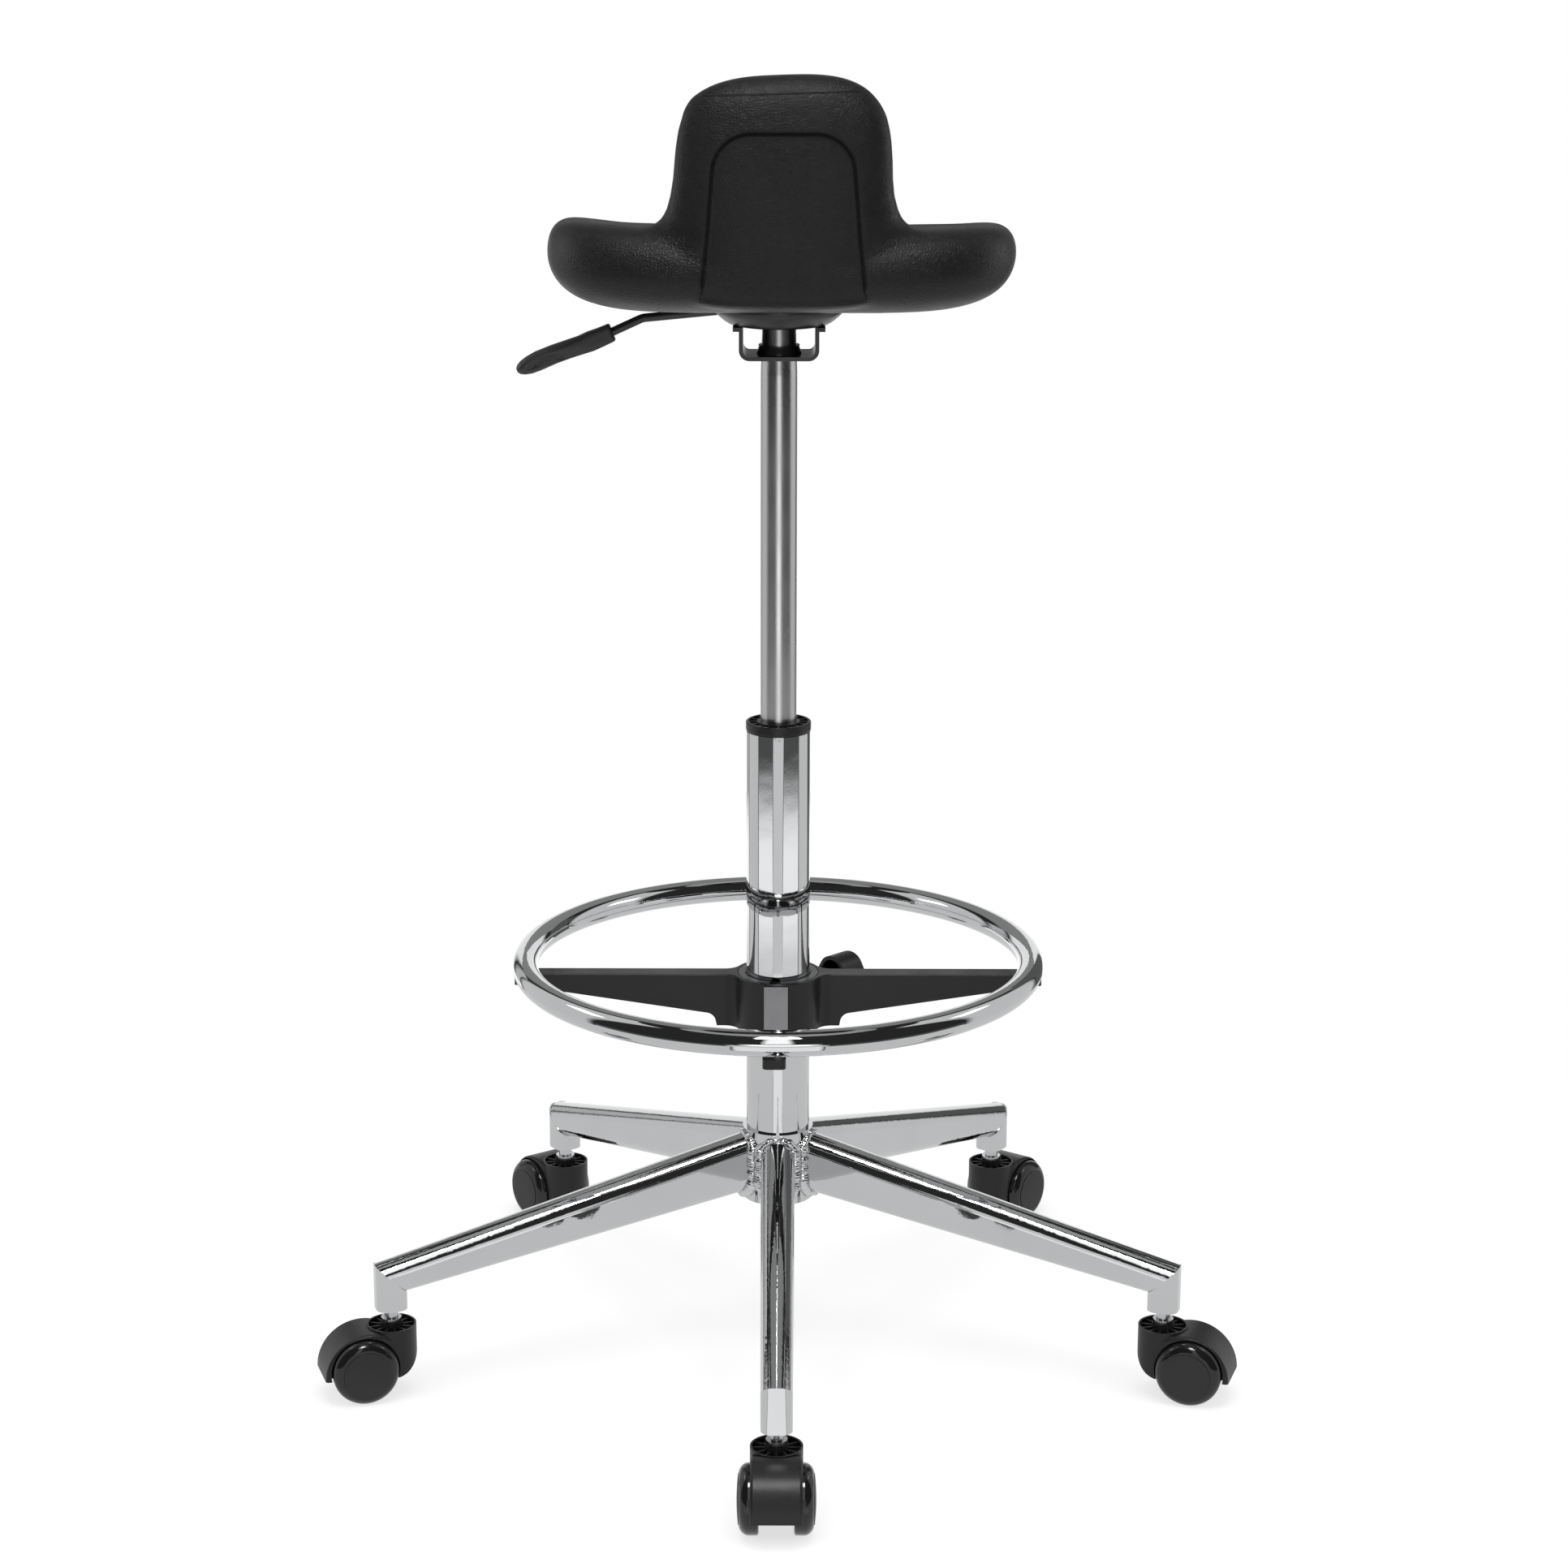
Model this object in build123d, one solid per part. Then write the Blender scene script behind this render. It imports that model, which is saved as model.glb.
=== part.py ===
from build123d import *

import math
import os

# Drafting chair: five-star base on swivel casters, gas-lift column, sliding foot ring and a
# one-piece foam seat with a short back. Millimetres, +Z up, origin on the floor at the column's axis.
# The seat's back faces -Y, and one arm of the base points to -Y.

# ---------------------------------------------------------------- clearances
RUNNING = 0.05  # radial clearance of a shaft that turns or slides in its bore
SEAT_GAP = 0.3  # gap between faces of pieces that move past each other
ROOM = 1.2  # space round a wheel inside its hood

# ---------------------------------------------------------------- five-star base
ARM_COUNT = 5
FIRST_ARM_ANGLE = -90.0  # the arm that points to -Y
STEM_CIRCLE_R = 318.0  # column axis to caster stem
HUB_R = 28.0
HUB_BOTTOM_Z = 127.0
HUB_TOP_Z = 186.0
ARM_ROOT_TOP_Z = 182.0  # arm's top and bottom edges where it meets the hub
ARM_ROOT_BOTTOM_Z = 133.5
ARM_TIP_TOP_Z = 109.5  # and over the caster stem
ARM_TIP_BOTTOM_Z = 80.5
ARM_ROOT_W = 27.6
ARM_TIP_W = 23.6
ARM_WALL = 1.6
SOCKET_LENGTH = 24.6  # along the arm
SOCKET_CORNER_R = 8.5
SOCKET_WALL = 2.5
SOCKET_BOTTOM_Z = 69.5
BUSH_HEIGHT = 26.0  # steel bush that fills the socket's lower end

# ---------------------------------------------------------------- casters
STEM_R = 5.5
STEM_INSERT = 22.0  # length of stem inside the bush
STEM_COLLAR_R = 8.0
STEM_COLLAR_H = 3.4
STEM_COLLAR_Z = 58.2
STEM_BOTTOM_Z = 32.0
WHEEL_R = 26.0
WHEEL_TRAIL = 25.0  # stem axis to axle
WHEEL_INNER_Y = 12.8  # inner face of each wheel from the caster's middle plane
WHEEL_TREAD_W = 6.6
WHEEL_OUTER_Y = 28.8
WHEEL_RIM_ROUND = 7.0
WHEEL_DISC_R = 18.6
WHEEL_DISC_STEP = 0.5
AXLE_R = 3.0
AXLE_HALF_LENGTH = 25.0
HOOD_WEB_Y = 12.0  # half thickness of the web between the wheels
HOOD_HALF_W = 19.2
HOOD_R = 35.0
HOOD_CENTRE_X = 21.5
HOOD_CENTRE_Z = 20.5
HOOD_EDGE_R = 2.5
CUP_R = 19.4
CUP_TOP_Z = 56.1
CUP_WALL = 1.5
CUP_DEPTH = 7.0
CUP_FLOOR_Z = 16.0
CUP_UNDERSIDE = (  # side outline of the cup's rounded underside, (x, height)
    (-21.5, 42.0),
    (-19.4, 34.5),
    (-16.0, 27.0),
    (-10.0, 21.0),
    (0.0, 17.2),
    (8.0, CUP_FLOOR_Z),
)
CUP_BOSS_R = 8.5
CUP_RIB_COUNT = 12
CUP_RIB_W = 1.2

# ---------------------------------------------------------------- column and gas spring
COLUMN_R = 25.0
COLUMN_BORE_R = 22.6
COLUMN_TOP_Z = 511.0
COLUMN_TAPER_R = 23.9  # outside, at the bottom of the press taper
END_PLATE_T = 2.5
CAP_R = 25.4
CAP_H = 7.6
CAP_RIM_W = 2.4
CAP_BOSS_W = 2.6
CAP_RECESS = 2.4
CAP_SPOKES = 16
GUIDE_LENGTH = 110.0
CYLINDER_R = 14.0
CYLINDER_BORE_R = 12.5
CYLINDER_BOTTOM_Z = 425.0
TAPER_START_Z = 790.0
TAPER_TOP_Z = 829.0
TAPER_TOP_R = 12.7
END_GUIDE_H = 18.0
LIFT_TRAVEL = 265.0
ROD_R = 5.0
ROD_BOTTOM_Z = 121.0
PISTON_Z = 450.0
PISTON_H = 14.0
RACE_T = 2.0
BEARING_OUTER_R = 14.5
BEARING_MEAN_R = 10.5
BALL_R = 2.2
BALL_COUNT = 9
SHOULDER_R = 8.0
SHOULDER_H = 4.0
BUMPER_R = 12.0
BUMPER_H = 12.0
CLIP_R = 9.0
CLIP_T = 2.0
BUTTON_R = 4.0
BUTTON_LENGTH = 36.0
BUTTON_PROUD = 5.0  # above the cylinder's end

# ---------------------------------------------------------------- foot ring
RING_R = 199.5  # centre line of the tube
RING_TUBE_R = 10.0
RING_WALL = 1.5
SPIDER_TOP_Z = 314.0
SPIDER_HUB_R = 35.0
SPIDER_HUB_H = 42.5
SPIDER_BLOCK_HALF = 48.5  # half length of the thick root of the two arms
SPIDER_WEB_R = 12.0  # concave fillets between hub and arms
SPIDER_ROOT_R = 8.0
SPIDER_EDGE_R = 0.8
SPIDER_ARM_W = 16.0
SPIDER_ROOT_H = 32.0
SPIDER_END_H = 9.0
SPIDER_END_X = RING_R + 8.5
SPIDER_CRADLE = 1.0  # depth that the ring sits into the arms
SPIDER_PAD_W = 18.6
SPIDER_PAD_X = -1.6
SPIDER_PAD_PROUD = 0.8
SLEEVE_WALL = 1.65
SLEEVE_LIP = 2.0
SLEEVE_FLANGE_R = 31.4
SLEEVE_FLANGE_T = 2.2
SLEEVE_BEVEL = 1.4
FLANGE_GAP = 0.6
SLEEVE_SLIT = 9.0
SLEEVE_SLIT_X = -2.4
RING_SCREW_R = 3.0
RING_SCREW_HEAD_R = 5.0
RING_SCREW_HEAD_H = 3.5
KNOB_ANGLE = 45.0  # the clamp screw points to +X +Y
KNOB_START_R = 61.0  # knob's inner face from the column axis
KNOB_LOBE_R = 14.0
KNOB_LOBE_AT = 5.8
KNOB_LOBES = 3
KNOB_T = 24.0
KNOB_BOSS_R = 8.0
CLAMP_R = 4.0
CLAMP_BOSS_R = 9.0
CLAMP_BOSS_END_R = 42.0
INSERT_R = 6.0
STOP_W = 18.6
STOP_X = -2.9
STOP_DEPTH = 12.0
STOP_H = 8.0
STOP_TOP_Z = 252.5
STOP_PEG_R = 3.5

# ---------------------------------------------------------------- seat mechanism
STRIP_T = 3.0
STRIP_DEPTH = 44.0  # width of the bent strip, along Y
BRACKET_HALF = 30.2
BRACKET_BOTTOM_Z = 802.2
BRACKET_BEND_R = 8.0
BRACKET_LIP = 4.6
CONE_TOP_R = 15.3
CONE_FOOT_R = 17.0
CONE_H = 6.6
DISH_FLOOR_Z = 827.3
DISH_T = 1.8
DISH_FLOOR_R = 33.0
DISH_RIM_R = 50.0
DISH_FLANGE_W = 8.0
NECK_RING_R = 15.2
NECK_RING_H = 2.4
PLATE_HALF_X = 88.0
PLATE_HALF_Y = 66.0
PLATE_CORNER_R = 16.0
PLATE_BOTTOM_Z = 844.5
PLATE_T = 2.5
BOLT_SPACING_X = 140.0
BOLT_SPACING_Y = 80.0
BOLT_R = 3.0
BOLT_HEAD_R = 6.0
BOLT_HEAD_H = 2.6
BOARD_HALF_X = 90.0
BOARD_HALF_Y = 72.0
BOARD_T = 9.0

# ---------------------------------------------------------------- release lever
LEVER_R = 3.3
LEVER_PIVOT_X = -36.0
LEVER_PIVOT_R = 2.0
LEVER_INNER_X = 10.0
LEVER_BEND_X = -103.0
LEVER_BEND_DROP = 6.0
LEVER_GRIP_X = -127.4
LEVER_GRIP_DROP = 17.2
LEVER_SLOT_REACH = 26.0  # past the pivot, where the tilted rod falls clear of the plate
HANDLE_LENGTH = 76.0
HANDLE_OVERLAP = 14.0  # rod inside the handle
EAR_T = 3.0  # ears that carry the lever's cross pin
EAR_W = 7.0

# ---------------------------------------------------------------- seat foam
SEAT_HALF_W = 171.0
SEAT_BACK_Y = -137.0
SEAT_FRONT_Y = 158.0
SEAT_WIDEST_Y = -20.0
SEAT_OFFSET_X = 2.7
SEAT_PLAN_POWER = 3.2
SEAT_STATION_ANGLES = (0, 15, 30, 45, 58, 70, 80)  # stations at half width x sine
WING_TOP_Z = 912.0
WING_RISE = 5.0  # by which the wings rise outwards
WING_TIP_Z = 893.0
SEAT_LOW_Z = 844.5
SEAT_FALL = 0.13  # slope of the top towards the front
REAR_ROUND = 34.0
FRONT_ROUND = 44.0
HUMP_TOP_Z = 1019.5
HUMP_POWER = 3.2
HUMP_RINGS = (  # height, half width, back and front of the short back
    (880.0, 95.0, -135.5, -76.0),
    (905.0, 90.0, -137.0, -78.0),
    (930.0, 84.0, -137.5, -82.0),
    (960.0, 79.5, -138.0, -86.0),
    (985.0, 74.5, -137.5, -89.0),
    (1003.0, 65.0, -134.5, -92.5),
    (1013.5, 50.0, -130.0, -98.0),
    (HUMP_TOP_Z, 30.0, -122.0, -106.0),
)
PANEL_LOW_Z = 856.0
PANEL_TOP_Z = 981.0
PANEL_HALF_TOP = 46.0
PANEL_HALF_LOW = 60.0
PANEL_CORNER_R = 24.0
PANEL_DEPTH = 2.0


# ---------------------------------------------------------------- helpers
def tube(outer_r, inner_r, bottom, top):
    """Upright tube about the Z axis."""
    height = top - bottom
    wall = Cylinder(outer_r, height) - Cylinder(inner_r, height + 2)
    return Pos(0, 0, bottom + height / 2) * wall


def rod(radius, bottom, top):
    """Upright solid cylinder about the Z axis."""
    height = top - bottom
    return Pos(0, 0, bottom + height / 2) * Cylinder(radius, height)


def turned(points):
    """Solid turned about Z from (radius, height) points."""
    profile = make_face(Polyline(*[(r, 0, z) for r, z in points], close=True))
    return revolve(profile, Axis.Z, 360)


def slab(points, half_width):
    """Polygon of (x, z) points, extruded both ways along Y."""
    face = make_face(Polyline(*[(x, 0, z) for x, z in points], close=True))
    return extrude(face, half_width, dir=(0, 1, 0), both=True)


def round_bar(start, end, radius):
    """Solid cylinder from one point to another."""
    line = Line(start, end)
    return sweep(Plane(start, z_dir=line @ 1 - line @ 0) * Circle(radius), path=line)


def spin(shape, angle):
    """Shape turned about the Z axis by degrees."""
    return Rot(0, 0, angle) * shape


def save(name, *solids):
    """One STEP file per node, holding one solid or a group of separate ones."""
    flat = [s for shape in solids for s in shape.solids()]
    export_step(flat[0] if len(flat) == 1 else Compound(children=flat), f"parts/{name}.step")


def between(x, x0, y0, x1, y1):
    """Straight line through two points, at x."""
    return y0 + (y1 - y0) * (x - x0) / (x1 - x0)


# ---------------------------------------------------------------- five-star base
def arm_angle(index):
    return FIRST_ARM_ANGLE + index * 360.0 / ARM_COUNT


def arm_top(x):
    return between(x, HUB_R, ARM_ROOT_TOP_Z, STEM_CIRCLE_R, ARM_TIP_TOP_Z)


def arm_bottom(x):
    return between(x, HUB_R, ARM_ROOT_BOTTOM_Z, STEM_CIRCLE_R, ARM_TIP_BOTTOM_Z)


def arm_section(x, wall):
    """Upright stadium outline of the arm's tube at a distance x from the column axis."""
    low, high = arm_bottom(x) + wall, arm_top(x) - wall
    width = between(x, HUB_R, ARM_ROOT_W, STEM_CIRCLE_R, ARM_TIP_W) - 2 * wall
    plane = Plane(origin=(x, 0, (low + high) / 2), x_dir=(0, 1, 0), z_dir=(1, 0, 0))
    return plane * SlotOverall(high - low, width, rotation=90)


def mitre_plane():
    """Plane of the weld between an arm and its socket, facing the arm."""
    inner_x = STEM_CIRCLE_R - SOCKET_LENGTH / 2
    outer_x = STEM_CIRCLE_R + SOCKET_LENGTH / 2
    rise = arm_top(outer_x) - arm_bottom(inner_x)
    run = outer_x - inner_x
    return Plane(origin=(inner_x, 0, arm_bottom(inner_x)), z_dir=(-rise, 0, run))


def base_arm():
    """Tapered flat-oval tube, cut to the hub's round and to the socket's mitre."""
    start_x, end_x = HUB_R * 0.6, STEM_CIRCLE_R + SOCKET_LENGTH
    outer = loft([arm_section(start_x, 0), arm_section(end_x, 0)], ruled=True)
    inner = loft([arm_section(start_x, ARM_WALL), arm_section(end_x, ARM_WALL)], ruled=True)
    shell = outer - inner - rod(HUB_R, 0, HUB_TOP_Z + 50)
    return split(shell, bisect_by=mitre_plane(), keep=Keep.TOP)


def socket_outline(wall):
    corner = max(SOCKET_CORNER_R - wall, 1.0)
    return RectangleRounded(SOCKET_LENGTH - 2 * wall, ARM_TIP_W - 2 * wall, corner)


def arm_socket():
    """Upright end of the arm, mitred at the top, with the stem's bush inside it."""
    height = ARM_TIP_TOP_Z + 20 - SOCKET_BOTTOM_Z
    place = Pos(STEM_CIRCLE_R, 0, SOCKET_BOTTOM_Z)
    shell = extrude(socket_outline(0), height) - extrude(socket_outline(SOCKET_WALL), height)
    return split(place * shell, bisect_by=mitre_plane(), keep=Keep.BOTTOM)


def stem_bush():
    block = extrude(socket_outline(SOCKET_WALL), BUSH_HEIGHT - 12)
    bored = Pos(0, 0, SOCKET_BOTTOM_Z) * block - rod(STEM_R, 0, SOCKET_BOTTOM_Z + STEM_INSERT)
    return Pos(STEM_CIRCLE_R, 0, 0) * bored


def column_outer_r(z):
    return between(z, HUB_BOTTOM_Z, COLUMN_TAPER_R, HUB_TOP_Z + 1, COLUMN_R - 0.1)


def base_hub():
    return turned(
        [
            (column_outer_r(HUB_BOTTOM_Z), HUB_BOTTOM_Z),
            (HUB_R, HUB_BOTTOM_Z),
            (HUB_R, HUB_TOP_Z),
            (column_outer_r(HUB_TOP_Z), HUB_TOP_Z),
        ]
    )


# ---------------------------------------------------------------- casters
def caster_stem():
    top = SOCKET_BOTTOM_Z + STEM_INSERT
    shank = rod(STEM_R, STEM_BOTTOM_Z, top)
    return shank + rod(STEM_COLLAR_R, STEM_COLLAR_Z, STEM_COLLAR_Z + STEM_COLLAR_H)


def disc_y(radius, half_width, x, z):
    """Cylinder along Y, centred on the caster's middle plane."""
    return Pos(x, 0, z) * Rot(90, 0, 0) * Cylinder(radius, 2 * half_width)


def wheel_space(side):
    """Room cut out of the hood for one wheel."""
    deep = 2 * WHEEL_OUTER_Y
    centre_y = side * (HOOD_WEB_Y + deep / 2)
    return Pos(WHEEL_TRAIL, centre_y, WHEEL_R) * Rot(90, 0, 0) * Cylinder(WHEEL_R + ROOM, deep)


def caster_cup():
    """Round cup whose underside curves in towards the wheels."""
    underside = Spline(*[(x, 0, z) for x, z in CUP_UNDERSIDE])
    reach = CUP_R + 2
    rest = Polyline(
        underside @ 1,
        (reach, 0, CUP_FLOOR_Z),
        (reach, 0, CUP_TOP_Z + 2),
        (-reach - 1, 0, CUP_TOP_Z + 2),
        underside @ 0,
    )
    side = extrude(make_face([underside, rest]), reach, dir=(0, 1, 0), both=True)
    return rod(CUP_R, CUP_FLOOR_Z, CUP_TOP_Z) & side


def caster_hood():
    """Cowl over the trailing half of the wheels, web between them, and ribbed cup round the stem."""
    cowl = disc_y(HOOD_R, HOOD_HALF_W, HOOD_CENTRE_X, HOOD_CENTRE_Z)
    cowl = fillet(cowl.edges().filter_by(GeomType.CIRCLE), HOOD_EDGE_R)
    reach = HOOD_CENTRE_X + HOOD_R
    above = Pos(reach / 2, 0, HOOD_CENTRE_Z + HOOD_R) * Box(reach + 2, 4 * HOOD_R, 2 * HOOD_R)
    cowl = cowl & above
    web = slab(
        [
            (0, CUP_FLOOR_Z + 2),
            (0, CUP_TOP_Z - CUP_DEPTH),
            (WHEEL_TRAIL + 12, CUP_TOP_Z - CUP_DEPTH),
            (WHEEL_TRAIL + 14, WHEEL_R - 8),
            (WHEEL_TRAIL + 4, WHEEL_R - 14),
            (8, CUP_FLOOR_Z - 2),
        ],
        HOOD_WEB_Y,
    )
    body = cowl + caster_cup() + web
    body -= wheel_space(1)
    body -= wheel_space(-1)
    hollow = rod(CUP_R - CUP_WALL, CUP_TOP_Z - CUP_DEPTH, CUP_TOP_Z + 20)
    body -= hollow
    body += rod(CUP_BOSS_R, CUP_TOP_Z - CUP_DEPTH - 1, STEM_COLLAR_Z - SEAT_GAP)
    rib_length = CUP_R - CUP_WALL / 2 - CUP_BOSS_R + 1
    rib_h = CUP_DEPTH - 1.2 + 1
    rib = Pos(CUP_BOSS_R - 1 + rib_length / 2, 0, CUP_TOP_Z - CUP_DEPTH - 1 + rib_h / 2)
    for index in range(CUP_RIB_COUNT):
        body += spin(rib * Box(rib_length, CUP_RIB_W, rib_h), index * 360.0 / CUP_RIB_COUNT)
    body -= rod(STEM_R + RUNNING, STEM_BOTTOM_Z - SEAT_GAP, CUP_TOP_Z + 20)
    body -= disc_y(AXLE_R, 2 * HOOD_HALF_W, WHEEL_TRAIL, WHEEL_R)
    return body


def caster_axle():
    return disc_y(AXLE_R, AXLE_HALF_LENGTH, WHEEL_TRAIL, WHEEL_R)


def caster_wheel(side):
    """Domed wheel: flat tread by the hood, rounded shoulder and a slightly raised disc outside."""
    tread_end = WHEEL_INNER_Y + 1 + WHEEL_TREAD_W
    shoulder_y = WHEEL_OUTER_Y - 1.6
    bore_r = AXLE_R + RUNNING
    bore_end = AXLE_HALF_LENGTH + SEAT_GAP
    profile = [
        Polyline(
            (bore_r, WHEEL_INNER_Y),
            (WHEEL_R - 1.2, WHEEL_INNER_Y),
            (WHEEL_R, WHEEL_INNER_Y + 1),
            (WHEEL_R, tread_end),
        ),
        Bezier(
            (WHEEL_R, tread_end),
            (WHEEL_R - 0.3, tread_end + WHEEL_RIM_ROUND * 0.6),
            (WHEEL_DISC_R + 2.4, shoulder_y + 0.4),
            (WHEEL_DISC_R, shoulder_y),
        ),
        Polyline(
            (WHEEL_DISC_R, shoulder_y),
            (WHEEL_DISC_R, shoulder_y + WHEEL_DISC_STEP),
        ),
        Bezier(
            (WHEEL_DISC_R, shoulder_y + WHEEL_DISC_STEP),
            (WHEEL_DISC_R / 2, WHEEL_OUTER_Y),
            (0, WHEEL_OUTER_Y),
        ),
        Polyline(
            (0, WHEEL_OUTER_Y),
            (0, bore_end),
            (bore_r, bore_end),
            (bore_r, WHEEL_INNER_Y),
        ),
    ]
    face = Plane.XZ * make_face(profile)
    wheel = revolve(face, Axis.Z, 360)
    return Pos(WHEEL_TRAIL, 0, WHEEL_R) * Rot(-90 * side, 0, 0) * wheel


def save_casters():
    stems = []
    for index in range(ARM_COUNT):
        place = Rot(0, 0, arm_angle(index)) * Pos(STEM_CIRCLE_R, 0, 0)
        number = index + 1
        stems.append(place * caster_stem())
        save(f"caster_hood_{number}", place * caster_hood())
        save(f"caster_axle_{number}", place * caster_axle())
        save(f"caster_wheel_left_{number}", place * caster_wheel(1))
        save(f"caster_wheel_right_{number}", place * caster_wheel(-1))
    save("caster_stems", *stems)


def save_base():
    save("base_hub", base_hub())
    sockets, bushes = [], []
    for index in range(ARM_COUNT):
        angle = arm_angle(index)
        save(f"base_arm_{index + 1}", spin(base_arm(), angle))
        sockets.append(spin(arm_socket(), angle))
        bushes.append(spin(stem_bush(), angle))
    save("arm_sockets", *sockets)
    save("stem_bushes", *bushes)


# ---------------------------------------------------------------- column and gas spring
def column_tube():
    taper_top = HUB_TOP_Z + 1
    shell = turned(
        [
            (COLUMN_BORE_R, HUB_BOTTOM_Z),
            (COLUMN_TAPER_R, HUB_BOTTOM_Z),
            (COLUMN_R - 0.1, taper_top),
            (COLUMN_R, taper_top),
            (COLUMN_R, COLUMN_TOP_Z),
            (COLUMN_BORE_R, COLUMN_TOP_Z),
        ]
    )
    return shell - stop_peg()


def stop_peg():
    middle_z = STOP_TOP_Z - STOP_H / 2
    return round_bar((0, -COLUMN_BORE_R + 3, middle_z), (0, -COLUMN_R - 2, middle_z), STOP_PEG_R)


def ring_stop():
    """Small moulded block pegged into the column, below the foot ring's hub."""
    middle_z = STOP_TOP_Z - STOP_H / 2
    middle_y = -COLUMN_R - STOP_DEPTH / 2 + 1.5
    block = Pos(STOP_X, middle_y, middle_z) * Box(STOP_W, STOP_DEPTH + 3, STOP_H)
    block = fillet(block.edges().filter_by(Axis.Z).group_by(Axis.Y)[0], 4.0)
    block -= rod(COLUMN_R, 0, COLUMN_TOP_Z)
    peg = stop_peg() & tube(COLUMN_R + 2, COLUMN_BORE_R + 0.2, 0, COLUMN_TOP_Z)
    return block + peg


def guide_bush():
    """Plastic guide in the column's mouth, with the ribbed cap that shows above it."""
    bore_r = CYLINDER_R + RUNNING
    cap_top = COLUMN_TOP_Z + CAP_H
    body = turned(
        [
            (bore_r, COLUMN_TOP_Z - GUIDE_LENGTH),
            (COLUMN_BORE_R, COLUMN_TOP_Z - GUIDE_LENGTH),
            (COLUMN_BORE_R, COLUMN_TOP_Z),
            (CAP_R - 0.9, COLUMN_TOP_Z),
            (CAP_R, COLUMN_TOP_Z + 1.6),
            (CAP_R, cap_top - 0.6),
            (CAP_R - 0.6, cap_top),
            (bore_r, cap_top),
        ]
    )
    floor_z = cap_top - CAP_RECESS
    body -= tube(CAP_R - CAP_RIM_W, bore_r + CAP_BOSS_W, floor_z, cap_top + 1)
    length = CAP_R - CAP_RIM_W - bore_r - CAP_BOSS_W + 1
    spoke = Pos(bore_r + CAP_BOSS_W - 0.5 + length / 2, 0, floor_z + CAP_RECESS / 2 - 0.4)
    for index in range(CAP_SPOKES):
        body += spin(spoke * Box(length, 1.2, CAP_RECESS), index * 360.0 / CAP_SPOKES)
    return body


def end_plate():
    return tube(COLUMN_BORE_R, ROD_R + RUNNING, HUB_BOTTOM_Z, HUB_BOTTOM_Z + END_PLATE_T)


def lower_race_z():
    return HUB_BOTTOM_Z + END_PLATE_T


def upper_race_z():
    return lower_race_z() + RACE_T + 2 * BALL_R + SEAT_GAP


def thrust_bearing():
    """Lower race and its balls, which stay with the column."""
    low = lower_race_z()
    race = tube(BEARING_OUTER_R, ROD_R + 1, low, low + RACE_T)
    balls = []
    for index in range(BALL_COUNT):
        ball = Pos(BEARING_MEAN_R, 0, low + RACE_T + BALL_R) * Sphere(BALL_R)
        balls.append(spin(ball, index * 360.0 / BALL_COUNT))
    return [race, *balls]


def piston_rod():
    shoulder_z = upper_race_z() + RACE_T
    body = rod(ROD_R, ROD_BOTTOM_Z, PISTON_Z + 1)
    body += rod(SHOULDER_R, shoulder_z, shoulder_z + SHOULDER_H)
    body += rod(CYLINDER_BORE_R - RUNNING, PISTON_Z, PISTON_Z + PISTON_H)
    return body


def bearing_top_race():
    return tube(BEARING_OUTER_R, ROD_R, upper_race_z(), upper_race_z() + RACE_T)


def rod_bumper():
    low = upper_race_z() + RACE_T + SHOULDER_H
    return tube(BUMPER_R, ROD_R, low, low + BUMPER_H)


def rod_clip():
    top = HUB_BOTTOM_Z - SEAT_GAP
    clip = tube(CLIP_R, ROD_R, top - CLIP_T, top)
    return clip - Pos(CLIP_R / 2 + 1, 0, top - CLIP_T / 2) * Box(CLIP_R + 2, 5, CLIP_T + 1)


def taper_r(z):
    return between(z, TAPER_START_Z, CYLINDER_R, TAPER_TOP_Z, TAPER_TOP_R)


def gas_cylinder():
    """Pressure tube with a tapered head, open below and bored for the valve button."""
    head_z = TAPER_TOP_Z - BUTTON_LENGTH
    body = turned(
        [
            (CYLINDER_BORE_R, CYLINDER_BOTTOM_Z),
            (CYLINDER_R, CYLINDER_BOTTOM_Z),
            (CYLINDER_R, TAPER_START_Z),
            (TAPER_TOP_R, TAPER_TOP_Z),
            (BUTTON_R + RUNNING, TAPER_TOP_Z),
            (BUTTON_R + RUNNING, head_z),
            (CYLINDER_BORE_R, head_z),
        ]
    )
    return body


def cylinder_end_guide():
    low = CYLINDER_BOTTOM_Z
    return tube(CYLINDER_BORE_R, ROD_R + RUNNING, low, low + END_GUIDE_H)


def valve_button():
    top = TAPER_TOP_Z + BUTTON_PROUD
    return rod(BUTTON_R, top - BUTTON_LENGTH + 6, top)


# ---------------------------------------------------------------- foot ring
def ring_z():
    return SPIDER_TOP_Z + RING_TUBE_R - SPIDER_CRADLE


def sleeve_outer_r():
    return COLUMN_R + RUNNING + SLEEVE_WALL


def ring_screw_holes(radius):
    """Upright cores of the two screws that hold the ring on its arms."""
    core = rod(radius, 0, ring_z())
    return Pos(RING_R, 0, 0) * core, Pos(-RING_R, 0, 0) * core


def foot_ring():
    place = Pos(0, 0, ring_z()) * Rot(0, 0, 90)
    body = place * Torus(RING_R, RING_TUBE_R) - place * Torus(RING_R, RING_TUBE_R - RING_WALL)
    for core in ring_screw_holes(RING_SCREW_R):
        body = (body - core).fix()
    return body


def ring_screws():
    """Cap screws from below, their heads against flats milled under the arms' ends."""
    top = ring_z() - RING_TUBE_R + 4
    low = screw_flat_z()
    screw = rod(RING_SCREW_R, low - 1, top) + rod(RING_SCREW_HEAD_R, low - RING_SCREW_HEAD_H, low)
    return Pos(RING_R, 0, 0) * screw, Pos(-RING_R, 0, 0) * screw


def screw_flat_z():
    return SPIDER_TOP_Z - SPIDER_END_H + 0.5


def clamp_axis_z():
    return SPIDER_TOP_Z - SPIDER_HUB_H / 2


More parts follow.
